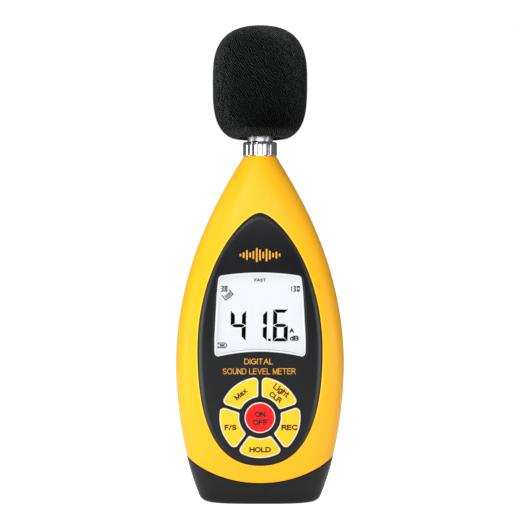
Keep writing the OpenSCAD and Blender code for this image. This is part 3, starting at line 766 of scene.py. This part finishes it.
def make_insert():
    """Brass tripod insert: a chamfered plug with a tapped hole along Y."""
    low, high, r = insert_low[1], insert_high[1], insert_high[0]
    crest, root, pitch, land = 2.6, 3.15, 1.27, 0.15
    profile = [(r - 0.3, low), (r, low + 0.3), (r, high - 0.4), (r - 0.35, high),
               (3.5, high), (3.2, high - 0.3)]
    for i in range(int((high - low - 1.0) / pitch)):
        y = high - 0.5 - i * pitch
        profile += [(crest, y), (crest, y - land), (root, y - pitch / 2), (crest, y - pitch + land)]
    profile.append((crest, low))
    piece = lathe("insert_plug", profile, brass, "casing", turns=96, smooth=25,
                  centre=(0, TRIPOD_Z), along_y=True)
    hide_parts("tripod_insert")


def make_boot():
    """The boot: an arched upper edge with a rounded lip, the skin, and a rounded foot."""
    turns, overlap, lip, wall = 320, 0.25, 0.35, 3.4
    beta = np.linspace(0, 2 * np.pi, turns, endpoint=False)

    def at_height(z, d):
        return skin(beta, z, d, -1)

    def edge_height(drop):
        return heights_on_arc(lambda z: at_height(z, 0)[:, 0], turns, ARC_R + overlap + drop)
    loops = [at_height(edge_height(0), -wall)]
    loops += [at_height(edge_height(back), -down) for back, down in rounding(lip)[::-1]]
    edge_z = edge_height(lip)
    for t in np.linspace(0, 1, 15)[1:]:
        loops.append(at_height(edge_z + (BASE_ROUND - edge_z) * t, 0))
    for q in np.radians(np.linspace(0, 90, 8)[1:]):
        z = BASE_ROUND * (1 - math.sin(q))
        loops.append(at_height(np.full(turns, z), -BASE_ROUND * (1 - math.cos(q))))
    loops += [loops[-1] * (k, k, 1) for k in (0.92, 0.6, 0.3)]
    piece = looped("boot", loops, black_boot, "casing", caps=(True, True), smooth=50)
    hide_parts("end_boot")


def make_panel():
    """The front panel: it rolls over at its edge, where a painted highlight makes it paler, and lets the
    keys through.
    """
    centre = (0, 96.5)
    angles = rays_from(centre, dense(to_map(panel_outline(0)), 640))
    roll, fall, fill, window_round, window_play = 3.2, 1.15, 40, 0.3, 0.05
    inner = [(to_map(window_outline(window_play)), -PANEL_SUNK)]
    inner += [(to_map(window_outline(window_play + window_round - back)), PANEL_PROUD - down)
              for back, down in rounding(window_round, 3)[::-1]]
    outer = [(to_map(panel_outline(-roll * e)), PANEL_PROUD - fall * (1 - e) ** 2.2)
             for e in (1, 0.85, 0.7, 0.55, 0.42, 0.3, 0.2, 0.1, 0.03, 0)]
    loops = annulus(centre, angles, inner, outer, fill, back=-PANEL_SUNK, back_fill=8, side=-1)
    marks = [0] * len(loops)
    # the rolled edge's rows take the paler materials, a painted highlight
    for row in range(len(outer)):
        marks[len(inner) + fill + row] = min(row + 1, len(panel_rim_highlights))
    piece = looped("panel", loops, [black_panel] + panel_rim_highlights, "casing", closed=True, smooth=50,
                   marks=marks)
    key_outlines = [ring_key_outline(angle, GAP) for angle in KEY_ANGLES.values()]
    key_outlines.append(power_outline(GAP))
    cut(piece, [prism("hole", outline, -OUTSIDE, -8) for outline in key_outlines], 50)
    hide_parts("front_panel")
    # painted shadow: a black rubber strip fills the groove round the panel and stands for the shade in
    # the groove
    groove_shade = [raised(dense(panel_outline(e), 640), d)
            for e, d in ((-0.6, -0.78), (GAP, -0.78), (GAP, -0.42), (-0.1, -0.36), (-0.6, -0.36))]
    groove_shade = looped("panel_groove_shade", groove_shade, rubber_black, "casing", closed=True, smooth=40)


def make_window():
    """The clear window, and the pale border of the display round its edge, which glows brighter than the
    display as a painted highlight of the window's edge.
    """
    base = dense(window_outline(0), 240)
    middle = np.array([0, 96.5])
    low, high, chamfer = -PANEL_SUNK + 0.02, 0.6, 0.15

    def scaled(k):
        return middle + (base - middle) * k
    shares = (0.9, 0.7, 0.5, 0.3, 0.1)
    loops = [raised(scaled(k), low) for k in shares[::-1]]
    loops += [raised(base, low), raised(base, high - chamfer), raised(scaled(0.994), high)]
    loops += [raised(scaled(k), high) for k in shares]
    piece = looped("window_lens", loops, window_clear, "casing", caps=(True, True), smooth=40)
    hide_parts("display_window")
    outer, inner, back, front = -0.02, -0.95, -1.05, -0.9
    rim = [raised(dense(window_outline(d), 240), height)
           for d, height in ((outer, back), (outer, front), (inner, front), (inner, back))]
    border = looped("window_border_highlight", rim, lcd_border_highlight, "casing", closed=True, smooth=40)


# ---------------------------------------------------------------- keys
def key_piece(name, outline, top, rim):
    """A key cap: retaining flange, side, white bevelled rim and a slightly crowned top."""
    n = 220
    flange_y, flange_top_y, flange_out = -14.1, -14.9, 0.6
    side_top, bevel, white, crown = PANEL_PROUD + 0.35, 0.35, 0.46, 0.25
    base = dense(outline(0), n)
    flange = dense(outline(flange_out), n)
    loops = [flat(flange, flange_y), flat(flange, flange_top_y), flat(base, flange_top_y),
             raised(base, side_top)]
    bevel_rows = rounding(bevel, 4)[::-1][1:]
    loops += [raised(aligned(outline(back - bevel), base), KEY_PROUD - down) for back, down in bevel_rows]
    inside = aligned(outline(-white), base)
    loops.append(raised(inside, KEY_PROUD + 0.02))
    middle = base.mean(0)
    loops += [raised(middle + (inside - middle) * k, KEY_PROUD + crown * (1 - k * k))
              for k in (0.92, 0.8, 0.65, 0.5, 0.34, 0.17)]
    rim_rows = range(3, 4 + len(bevel_rows))
    marks = [int(row in rim_rows) for row in range(len(loops))]
    body = name.replace("_cap", "")
    piece = looped(name, loops, [top, rim], body, caps=(True, True), smooth=45, marks=marks)
    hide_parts(body)
    return piece


def aligned(outline, base):
    """The outline's points nearest in turn to those of base, so that loops don't twist."""
    fine = dense(outline)
    apart = fine[None, :, :] - base[:, None, :]
    return fine[np.argmin((apart ** 2).sum(2), axis=1)]


def make_keys():
    for name, angle in KEY_ANGLES.items():
        piece = key_piece(name + "_cap", lambda d, a=angle: ring_key_outline(a, d),
                          key_yellow, key_white)
    piece = key_piece("power_key_cap", power_outline, key_red, key_white)


# ---------------------------------------------------------------- print and display figures
def oval(x, z, rx, rz, start, end, n=16):
    """Points round an ellipse between two angles."""
    a = np.radians(np.linspace(start, end, n + 1))
    return [(x + rx * c, z + rz * d) for c, d in zip(np.cos(a), np.sin(a))]


# Letters as centre lines, with a cap height of 1: (width, paths)
GLYPHS = {
    "A": (0.9, [[(0, 0), (0.45, 1), (0.9, 0)], [(0.16, 0.36), (0.74, 0.36)]]),
    "B": (0.72, [[(0.42, 0.52), (0, 0.52), (0, 1), (0.4, 1)] + oval(0.4, 0.76, 0.27, 0.24, 90, -90),
                 [(0, 0.52), (0, 0), (0.44, 0)] + oval(0.44, 0.26, 0.28, 0.26, -90, 90)]),
    "C": (0.86, [oval(0.46, 0.5, 0.46, 0.5, 42, 318)]),
    "D": (0.8, [[(0, 0), (0, 1), (0.34, 1)] + oval(0.34, 0.5, 0.46, 0.5, 90, -90) + [(0, 0)]]),
    "E": (0.66, [[(0.64, 1), (0, 1), (0, 0), (0.66, 0)], [(0, 0.53), (0.6, 0.53)]]),
    "F": (0.6, [[(0.6, 1), (0, 1), (0, 0)], [(0, 0.5), (0.52, 0.5)]]),
    "G": (0.92, [oval(0.47, 0.5, 0.47, 0.5, 42, 330) + [(0.92, 0.26), (0.92, 0.47), (0.5, 0.47)]]),
    "H": (0.72, [[(0, 0), (0, 1)], [(0.72, 0), (0.72, 1)], [(0, 0.53), (0.72, 0.53)]]),
    "I": (0.0, [[(0, 0), (0, 1)]]),
    "L": (0.56, [[(0, 1), (0, 0), (0.56, 0)]]),
    "M": (0.84, [[(0, 0), (0, 1), (0.42, 0.06), (0.84, 1), (0.84, 0)]]),
    "N": (0.72, [[(0, 0), (0, 1), (0.72, 0), (0.72, 1)]]),
    "O": (0.94, [oval(0.47, 0.5, 0.47, 0.5, 90, 450, 28)]),
    "R": (0.74, [[(0, 0), (0, 1), (0.42, 1)] + oval(0.42, 0.75, 0.27, 0.25, 90, -90) + [(0, 0.5)],
                 [(0.4, 0.5), (0.74, 0)]]),
    "S": (0.72, [oval(0.36, 0.75, 0.31, 0.25, 25, 265) + oval(0.36, 0.25, 0.35, 0.25, 85, -155)]),
    "T": (0.76, [[(0, 1), (0.76, 1)], [(0.38, 1), (0.38, 0)]]),
    "U": (0.72, [[(0, 1)] + oval(0.36, 0.34, 0.36, 0.34, 180, 360) + [(0.72, 1)]]),
    "V": (0.84, [[(0, 1), (0.42, 0), (0.84, 1)]]),
    "/": (0.34, [[(0, 0), (0.34, 1)]]),
    "a": (0.5, [oval(0.24, 0.5, 0.22, 0.2, 150, 0) + [(0.46, 0)],
                [(0.46, 0.4), (0.28, 0.4)] + oval(0.21, 0.2, 0.21, 0.2, 90, 290) + [(0.46, 0.14)]]),
    "d": (0.54, [oval(0.27, 0.35, 0.27, 0.35, 90, 450, 24), [(0.54, 1), (0.54, 0)]]),
    "g": (0.54, [oval(0.27, 0.36, 0.27, 0.34, 90, 450, 24),
                 [(0.54, 0.7)] + oval(0.27, -0.06, 0.27, 0.22, 0, -145)]),
    "h": (0.5, [[(0, 0), (0, 1)], oval(0.25, 0.45, 0.25, 0.25, 180, 0) + [(0.5, 0)]]),
    "i": (0.0, [[(0, 0), (0, 0.7)], [(0, 0.9), (0, 1)]]),
    "t": (0.3, [[(0.12, 0.92)] + oval(0.26, 0.14, 0.14, 0.14, 180, 280), [(0, 0.7), (0.28, 0.7)]]),
    "x": (0.5, [[(0, 0), (0.5, 0.7)], [(0, 0.7), (0.5, 0)]]),
}


def strokes(path):
    """A path without its repeated points, split at its sharp corners."""
    p = np.asarray(path, float)
    p = p[np.append(True, np.hypot(*np.diff(p, axis=0).T) > 1e-6)]
    step = np.diff(p, axis=0)
    along = step / np.hypot(*step.T)[:, None]
    sharp = [i + 1 for i in range(len(along) - 1) if along[i] @ along[i + 1] < -0.1]
    ends = [0] + sharp + [len(p) - 1]
    return [p[a:b + 1] for a, b in zip(ends, ends[1:])]


def ribbon(path, width):
    """A line with square ends as quads, with mitred corners."""
    p = np.array(path, float)
    step = np.diff(p, axis=0)
    along = step / np.hypot(*step.T)[:, None]
    closed = np.allclose(p[0], p[-1])
    if not closed:
        p[0] -= along[0] * width / 2
        p[-1] += along[-1] * width / 2
    side = np.stack([-along[:, 1], along[:, 0]], 1)
    first, last = (side[-1], side[0]) if closed else (side[0], side[-1])
    a, b = np.vstack([first, side]), np.vstack([side, last])
    mitre = (a + b) / np.maximum(1 + (a * b).sum(1), 0.45)[:, None]
    left, right = p + mitre * width / 2, p - mitre * width / 2
    return [np.array([left[i], right[i], right[i + 1], left[i + 1]]) for i in range(len(p) - 1)]


def lettering(text, size, stroke, gap=0.27):
    """Outlines of a line of text that fills size (width, height) about the origin."""
    lines, x = [], 0.0
    for letter in text:
        if letter == " ":
            x += 0.5
            continue
        width, paths = GLYPHS[letter]
        lines += [np.asarray(path, float) + (x, 0) for path in paths]
        x += width + gap
    every = np.vstack(lines)
    low, high = every.min(0), every.max(0)
    scale = (np.asarray(size, float) - stroke) / np.maximum(high - low, 0.01)
    placed = [(line - (low + high) / 2) * scale for line in lines]
    return [quad for line in placed for part in strokes(line) for quad in ribbon(part, stroke)]


def place(points, at, turn=0):
    """Turns a flat outline about the origin and moves it."""
    c, s = math.cos(math.radians(turn)), math.sin(math.radians(turn))
    return np.stack([at[0] + points[:, 0] * c - points[:, 1] * s,
                     at[1] + points[:, 0] * s + points[:, 1] * c], 1)


def shapes(name, outlines, material, body, surface, thick=0.02):
    """Several flat polygons as one printed piece, from thick above a surface to thick below it."""
    verts, faces, lift = [], [], []
    for outline in outlines:
        o, n = len(verts), len(outline)
        verts += list(outline) + list(outline)
        lift += [thick] * n + [-thick] * n
        faces += [tuple(range(o, o + n)), tuple(range(o + 2 * n - 1, o + n - 1, -1))]
        faces += [(o + i, o + (i + 1) % n, o + n + (i + 1) % n, o + n + i) for i in range(n)]
    x, z = np.array(verts, float).T
    y = surface(x, z) - np.array(lift)
    return mesh_piece(name, np.stack([x, y, z], 1), faces, material, body, smooth=30)


def label(name, text, at, size, stroke, material, body, surface, turn=0):
    """Lettering with a given (width, height) and stroke about a middle point."""
    quads = [place(quad, at, turn) for quad in lettering(text, size, stroke)]
    return shapes(name, quads, material, body, surface)


def on_panel(x, z):
    return skin_y(x, z, PANEL_PROUD + 0.01)


def on_key(x, z):
    return skin_y(x, z, KEY_PROUD + 0.26)


def on_lcd(x, z):
    return np.full(np.shape(x), LCD_Y - 0.02)


def digit(segments, low, w, h, wide=2.1, tall=1.65):
    """Seven-segment bars with mitred ends: a top, b c right, d low, e f left, g middle.

    The digit fills w by h from its lower left corner; wide and tall are its bars' thicknesses.
    """
    slant, gap, lip, m = 0.02, 0.065 * wide, 0.3 * wide, h / 2
    tip, top, low_end = 0.7 * tall, m + (tall + lip) / 2, m - (tall + lip) / 2
    bars = {
        "a": [(gap, h), (w - gap, h), (w - tall - gap, h - tall), (tall + gap, h - tall)],
        "d": [(gap, 0), (w - gap, 0), (w - tall - gap, tall), (tall + gap, tall)],
        "g": [(lip, m), (lip + tip, m + tall / 2), (w - lip - tip, m + tall / 2),
              (w - lip, m), (w - lip - tip, m - tall / 2), (lip + tip, m - tall / 2)],
        "f": [(0, h - gap), (wide, h - wide - gap), (wide, top), (0, m + gap)],
        "b": [(w, h - gap), (w - wide, h - wide - gap), (w - wide, top), (w, m + gap)],
        "e": [(0, gap), (wide, wide + gap), (wide, low_end), (0, m - gap)],
        "c": [(w, gap), (w - wide, wide + gap), (w - wide, low_end), (w, m - gap)],
    }
    return [np.array([(low[0] + x + slant * y, low[1] + y) for x, y in bars[s]]) for s in segments]


def make_display_figures():
    """The reading, its unit, the range's ends, and the scale and battery signs."""
    def figures(name, outlines, thick=0.02):
        shapes(name, outlines, lcd_ink, "casing", on_lcd, thick)

    def words(name, text, at, size, stroke):
        label(name, text, at, size, stroke, lcd_ink, "casing", on_lcd)
    reading = digit("fgbc", (-15.1, 82.9), 7.8, 15.5)
    reading += digit("bc", (-3.9, 82.9), 7.3, 15.5)
    reading += digit("afgedc", (6.4, 82.7), 7.6, 16.2)
    reading.append(rect(4.1, 5.5, 82.8, 84.1))
    figures("lcd_reading", reading)
    words("lcd_weighting", "A", (16.1, 88.2), (2.4, 2.3), 0.6)
    words("lcd_unit", "dB", (17.4, 84.3), (4.5, 2.5), 0.6)
    words("lcd_response", "FAST", (0.05, 113.8), (5.8, 1.6), 0.36)
    small = []
    for segments, x, width in (("abgcd", -20.0, 1.6), ("abcdefg", -18.1, 1.6), ("bc", 14.9, 1.4),
                               ("abgcd", 16.7, 1.5), ("abcdef", 18.7, 1.5)):
        small += digit(segments, (x, 107.9), width, 3.0, 0.7, 0.62)
    figures("lcd_range", small, 0.015)
    frame_bars = [rect(-2.6, -2.1, -1.2, 1.7), rect(2.1, 2.6, -1.2, 1.7), rect(-2.6, 2.6, -1.65, -1.2)]
    ticks = [rect(-1.55 + 0.6 * i, -1.15 + 0.6 * i, -1.0, 0.7) for i in range(6)]
    figures("lcd_scale", [place(bar_outline, (-16.4, 106.2), 38) for bar_outline in frame_bars + ticks])
    upper_end = np.array([(1.5, 1.4), (2.4, 0.5), (1.9, 0.3), (1.2, 1.0)])
    lower_end = np.array([(1.5, -1.4), (1.2, -1.0), (1.9, -0.3), (2.4, -0.5)])
    cell = [rect(-1.8, 1.5, 0.95, 1.4), rect(-1.8, 1.5, -1.4, -0.95), rect(-2.4, -1.8, 0.5, 1.4),
            rect(-2.4, -1.8, -1.4, -0.5), upper_end, lower_end, rect(1.9, 2.4, -0.5, 0.5)]
    cell += [rect(-1.4, 1.2, level, level + 0.36) for level in (-0.64, -0.18, 0.28)]
    figures("lcd_battery", [place(line, (-19.1, 80.7)) for line in cell])


def make_panel_print():
    """The two lines of print under the window and a row of sound-wave bars above it."""
    label("panel_title", "SOUND LEVEL METER", (-0.4, 68.0), (36.6, 3.0), 0.31, print_orange,
          "casing", on_panel)
    label("panel_subtitle", "DIGITAL", (-0.7, 72.95), (14.4, 2.9), 0.34, print_orange,
          "casing", on_panel)
    heights = [1.4, 3.0, 5.0, 2.6, 4.2, 7.2, 5.6, 3.4, 6.4, 4.4, 2.4, 3.6, 1.6]
    pitch, r, level = 1.65, 0.42, 126.5
    bars = []
    for i, height in enumerate(heights):
        x, end = (i - len(heights) // 2) * pitch, height / 2 - r
        bars.append(np.vstack([arc((x, level + end), r, 0, 180, 9),
                               arc((x, level - end), r, 180, 360, 9)]))
    shapes("panel_wave_mark", bars, print_orange, "casing", on_panel)


def make_key_print():
    """Each key's label; the turned ones have a finer stroke."""
    for key, text, at, size, turn, ink in (
            ("max_key", "Max", (-9.7, 56.6), (6.9, 2.8), 40, print_dark),
            ("light_key", "Light", (10.5, 58.2), (8.6, 3.8), -36, print_dark),
            ("light_key", "CLR", (7.8, 55.1), (6.9, 2.8), -36, print_dark),
            ("speed_key", "F/S", (-14.8, 39.8), (6.0, 2.8), 0, print_dark),
            ("rec_key", "REC", (14.8, 39.8), (8.0, 2.8), 0, print_dark),
            ("hold_key", "HOLD", (0.1, 28.6), (10.8, 2.8), 0, print_dark),
            ("power_key", "ON", (0, 46.5), (5.4, 2.8), 0, print_red_dark),
            ("power_key", "OFF", (0, 42.4), (7.7, 2.8), 0, print_red_dark)):
        name = "print_" + text.replace("/", "").lower()
        label(name, text, at, size, 0.6 if turn else 0.66, ink, key, on_key, turn)


# ---------------------------------------------------------------- microphone
def make_collar():
    """The knurled ring: shallow flutes that fade out over its chamfered top."""
    low, high = collar_low[2], collar_high[2]
    r, bore, count, shoulder = 8.8, 7.2, 30, 2.5

    def fluted(radius, a):
        across = np.mod(a * count / (2 * np.pi), 1) * 2 - 1
        depth = np.interp(radius, (r - 1.1, r - 0.5, r), (0, 0.08, 0.13))
        return radius - depth * (1 - across ** 2)
    profile = [(bore, low + 0.2), (bore + 0.2, low), (r - 0.4, low), (r - 0.12, low + 0.03),
               (r, low + 0.14), (r, low + shoulder), (r, high - shoulder), (r, high - 0.42),
               (r - 0.08, high - 0.26), (r - 0.25, high - 0.1), (r - 0.5, high), (r - 1.1, high),
               (bore + 0.2, high), (bore, high - 0.2)]
    piece = lathe("collar_ring", profile, chrome, "collar", turns=960, smooth=28, wave=fluted)
    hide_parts("mic_collar")


def make_sleeve():
    """The microphone sleeve: a tube with the collar's thread on its lower end."""
    low, high = box_mm("mic_sleeve")
    r, root, crest, wall = 6.6, 6.8, 7.1, 0.9
    thread_low = NECK_Z + 0.05
    thread_high = thread_low + THREAD_TURNS * THREAD_PITCH
    profile = [(r - wall, low[2]), (r, low[2]), (r, thread_low)]
    for i in range(THREAD_TURNS):
        profile += [(root, thread_low + i * THREAD_PITCH), (crest, thread_low + (i + 0.5) * THREAD_PITCH)]
    profile += [(root, thread_high), (r, thread_high + 0.1), (r, high[2]), (r - wall, high[2])]
    piece = lathe("sleeve_tube", profile, satin_chrome, "casing", turns=128, smooth=25)
    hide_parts("mic_sleeve")


def make_washer():
    """The thin chamfered ring under the collar."""
    low, high, bore, r, chamfer = NECK_Z, NECK_Z + 0.5, 7.2, 8.4, (0.15, 0.12)
    profile = [(bore, low), (r - chamfer[0], low), (r, low + chamfer[1]),
               (r, high - chamfer[1]), (r - chamfer[0], high), (bore, high)]
    piece = lathe("washer_ring", profile, steel_turned, "washer", turns=128)
    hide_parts("collar_washer")


def make_foam():
    """The foam ball: a rounded barrel with a blind bore, whose skin is creased by fine noise."""
    radius, mid, drop = 24.6, 217.6, 32.0
    upper_power, lower_power = 2.75, 3.44
    low, rise = foam_low[2], foam_high[2] - mid
    turns, rows = 396, 236
    bore, bore_top, axis = 6.95, 218.0, 0.02
    q = np.sin(np.linspace(np.pi / 2, 0, rows // 2))
    above = np.stack([radius * (1 - q ** upper_power) ** (1 / upper_power), mid + rise * q], 1)
    above[0, 0] = axis
    lowest = (mid - low - 0.35) / drop
    q = np.linspace(0, 1, rows // 2)[1:] ** 0.75 * lowest
    below = np.stack([radius * (1 - q ** lower_power) ** (1 / lower_power), mid - drop * q], 1)
    edge = below[-1, 0]
    under = np.array([(edge - 1.0, low + 0.1), (edge - 2.2, low), (edge - 4, low + 0.15),
                      (12, low + 0.4), (10, low + 0.9), (8.4, low + 1.6), (7.3, low + 2.1),
                      (bore, low + 2.6)])
    inside = np.array([(bore, low + 8), (bore, low + 18), (bore, bore_top - 1),
                       (bore - 1, bore_top), (axis, bore_top)])
    profile = np.vstack([above, below, under, inside])
    creased_rows = len(profile) - len(inside) - 1
    a = np.linspace(0, 2 * np.pi, turns, endpoint=False)
    loops = []
    for row, (r, z) in enumerate(profile):
        ring = np.stack([r * np.cos(a), r * np.sin(a), np.full(turns, z)], 1)
        if row < creased_rows:
            out = ring * (1, 1, 0) + (0, 0, (z - mid) * 0.6)
            out /= np.linalg.norm(out, axis=1)[:, None]
            height = np.array([crease(p) for p in ring])
            ring = ring + out * height[:, None]
        loops.append(ring)
    piece = looped("foam_ball", loops, foam_black, "foam_ball", caps=(True, True), smooth=180)
    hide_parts("windscreen")


def crease(p):
    """Height of the foam's skin at a point: wrinkles that wind down to the right, pores, swells."""
    x, y, z = p
    turn = z * 0.034
    c, d = math.cos(turn), math.sin(turn)
    wound = Vector((x * c - y * d, x * d + y * c, z * 0.25))
    wrinkle = 0.1 * noise.noise(wound * 1.35)
    pore = 0.06 * noise.noise(Vector(p) * 1.9)
    swell = 0.08 * noise.noise(Vector(p) * 0.07)
    deepest = 0.1
    return wrinkle + pore + swell - deepest


# ---------------------------------------------------------------- rear pieces
def raised_rear(outline, d):
    return np.stack([outline[:, 0], skin_y(outline[:, 0], outline[:, 1], d, 1), outline[:, 1]], 1)


def make_door():
    """The battery door: a curved cover with thumb ribs, cut to a round bead at its hinge."""
    base = dense(door_outline(0), 320)
    middle = np.array([0, (DOOR_LOW + DOOR_HIGH) / 2])
    half = np.array([DOOR_A, (DOOR_HIGH - DOOR_LOW) / 2])
    edge = 0.35

    def inset(e):
        return middle + (base - middle) * (1 - e / half)
    loops = [raised_rear(inset(e), -DOOR_T) for e in (12, 9, 6, 3, 0)]
    loops += [raised_rear(inset(edge - back), -down) for back, down in rounding(edge, 3)[::-1]]
    loops += [raised_rear(inset(e), 0) for e in (1.2, 3, 5.5, 8.5, 12)]
    piece = looped("door_cover", loops, black_boot, "door", caps=("rungs", "rungs"), smooth=45)
    below = prism("below_hinge", rect(-17, 17, DOOR_LOW - 1, HINGE_Z), 0, 25)
    cut(below, [bar("bead", 18, HINGE_Y, HINGE_Z, HINGE_R)])
    grooves = [bar("groove", THUMB_X, WAIST_B + 0.25, DOOR_HIGH - 6 - 2 * k, 0.6) for k in range(6)]
    cut(piece, [below] + grooves, 45)
    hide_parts("battery_door")


def make_door_hooks():
    """Two hooks below the hinge: a neck under the bead and a leg that points down."""
    inner_y, half, high = HINGE_Y - 3.1, 2, HINGE_Z + 1
    for side, x in (("left", -HOOK_X), ("right", HOOK_X)):
        neck = rect(x - half, x + half, HINGE_Z - 0.6, high)
        leg = rect(x - half, x + half, HINGE_Z - 3, high)
        hook = prism("door_hook_" + side, neck, inner_y, HINGE_Y - 0.7)
        cut(hook, [prism("leg", leg, inner_y, inner_y + 1.3)], operation="UNION")
        dressed(hook, black_boot, "door")


def make_battery():
    """A block battery with rounded edges, a bare top band, a striped wrap and its two signs."""
    low, high = battery_low, battery_high
    half = (high - low)[:2] / 2
    middle = (low + high)[:2] / 2
    corner = plate_outline(half[0], -half[1], half[1], 2.0, 8)

    def level(z, back):
        ring = corner * (1 - back / half) + middle
        return np.column_stack([ring, np.full(len(corner), float(z))])
    edge = rounding(0.6, 3)
    bands = [low[2] + z for z in (3.2, 12.0, 14.5)] + [high[2] - z for z in (9.0, 6.5, 2.4)]
    loops = [level(low[2] + down, back) for back, down in edge]
    loops += [level(z, 0) for z in bands]
    loops += [level(high[2] - down, back) for back, down in edge[::-1]]
    marks = [0] * 5 + [1, 2, 1, 2, 1] + [0] * 4
    piece = looped("battery_block", loops, [steel, can_wrap, print_orange], "casing",
                   caps=(True, True), smooth=40, marks=marks)
    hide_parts("battery")
    long, thick, across, level_z = 2.0, 0.45, 6.35, high[2] - 15
    dash = rect(-long, long, -thick, thick)
    plus = [dash, rect(-thick, thick, thick, long), rect(-thick, thick, -long, -thick)]
    signs = [place(outline, (-across, level_z)) for outline in plus] + [place(dash, (across, level_z))]
    shapes("battery_signs", signs, part_white, "casing",
           lambda x, z: np.full(np.shape(x), high[1]), thick=-0.04)


# ---------------------------------------------------------------- stage, in metres
def make_floor():
    """A large white floor just under the base, which glows in the camera's view."""
    mesh = bpy.data.meshes.new("floor")
    r = 6.0
    mesh.from_pydata([(-r, -r, 0), (r, -r, 0), (r, r, 0), (-r, r, 0)], [], [(0, 1, 2, 3)])
    floor = bpy.data.objects.new("floor", mesh)
    bpy.context.scene.collection.objects.link(floor)
    floor.location.z = -0.0002
    look = Look("floor_white")
    seen = look.node("LightPath", "Is Camera Ray")
    look.paint({"Base Color": (0.9, 0.9, 0.9, 1), "Roughness": 0.9, "Specular IOR Level": 0.1,
                "Emission Color": (1, 1, 1, 1), "Emission Strength": look.spread(seen, 0.15, 0.85, 0, 1)})
    mesh.materials.append(look.material)


def make_world():
    """White surroundings: full in the camera's view, weak as light and weaker in reflections."""
    world = bpy.data.worlds.new("studio")
    bpy.context.scene.world = world
    world.use_nodes = True
    nodes, links = world.node_tree.nodes, world.node_tree.links
    nodes.clear()

    def background(strength):
        node = nodes.new("ShaderNodeBackground")
        node.inputs["Color"].default_value = (1, 1, 1, 1)
        node.inputs["Strength"].default_value = strength
        return node
    path = nodes.new("ShaderNodeLightPath")
    shown = background(0.25)
    for ray, strength in (("Is Glossy Ray", 0.1), ("Is Camera Ray", 1.0)):
        mix = nodes.new("ShaderNodeMixShader")
        links.new(path.outputs[ray], mix.inputs[0])
        links.new(shown.outputs[0], mix.inputs[1])
        links.new(background(strength).outputs[0], mix.inputs[2])
        shown = mix
    links.new(shown.outputs[0], nodes.new("ShaderNodeOutputWorld").inputs["Surface"])


def area_light(name, at, aim, size, power, diffuse=True, glossy=True, spread_angle=180):
    """A rectangular light in metres and watts, hidden from the camera."""
    data = bpy.data.lights.new(name, "AREA")
    data.shape = "RECTANGLE"
    data.size, data.size_y = size
    data.energy = power
    data.spread = math.radians(spread_angle)
    light = bpy.data.objects.new(name, data)
    light.location = at
    light.visible_diffuse, light.visible_glossy, light.visible_camera = diffuse, glossy, False
    light.rotation_mode = "QUATERNION"
    light.rotation_quaternion = (Vector(aim) - Vector(at)).to_track_quat("-Z", "Y")
    bpy.context.scene.collection.objects.link(light)


def make_lights():
    """A soft key light from the upper left, weak fills, and cards seen only in the chrome."""
    body, base, collar = (0, 0, 0.12), (0, 0, 0.06), (0, 0, 0.183)
    area_light("key_light", (-0.4, -0.78, 0.6), body, (0.5, 0.5), 9.4, glossy=False)
    area_light("fill_light", (0.7, -0.7, 0.3), body, (0.4, 0.7), 0.4, glossy=False)
    area_light("low_light", (0, -0.7, 0.05), (0, 0, 0.02), (0.3, 0.06), 0.02, glossy=False,
               spread_angle=30)
    area_light("top_light", (0, 0.3, 0.75), (0, 0, 0.2), (0.5, 0.3), 4.0)
    area_light("left_strip", (-0.6, -0.2, 0.06), base, (0.12, 0.24), 0.5, diffuse=False)
    area_light("right_strip", (0.6, -0.2, 0.06), base, (0.12, 0.24), 0.5, diffuse=False)
    area_light("neck_card", (-0.29, -0.52, 0.56), (0, 0, 0.165), (0.12, 0.25), 0.8, diffuse=False)
    area_light("collar_front", (0, -0.11, 0.19), collar, (0.12, 0.03), 0.036, diffuse=False)
    area_light("collar_left", (-0.11, -0.01, 0.19), collar, (0.02, 0.03), 0.009, diffuse=False)
    area_light("collar_right", (0.097, -0.052, 0.19), collar, (0.02, 0.03), 0.0035, diffuse=False)


def make_camera():
    """A level front view from 0.64 m, a little over half way up."""
    data = bpy.data.cameras.new("camera")
    data.lens = 85
    data.sensor_width = 36
    data.clip_start, data.clip_end = 0.01, 50
    camera = bpy.data.objects.new("camera", data)
    camera.location = (0, -0.638, 0.124)
    camera.rotation_euler = (math.radians(90), 0, 0)
    bpy.context.scene.collection.objects.link(camera)
    bpy.context.scene.camera = camera


make_camera()
make_floor()
make_world()
make_lights()
make_front_shell()
make_rear_shell()
make_boot()
make_panel()
make_window()
make_keys()
make_panel_print()
make_display_figures()
make_key_print()
make_collar()
make_sleeve()
make_washer()
make_foam()
make_door()
make_door_hooks()
make_rear_fittings()
make_insert()
make_battery()

bpy.context.scene.view_settings.view_transform = "Standard"
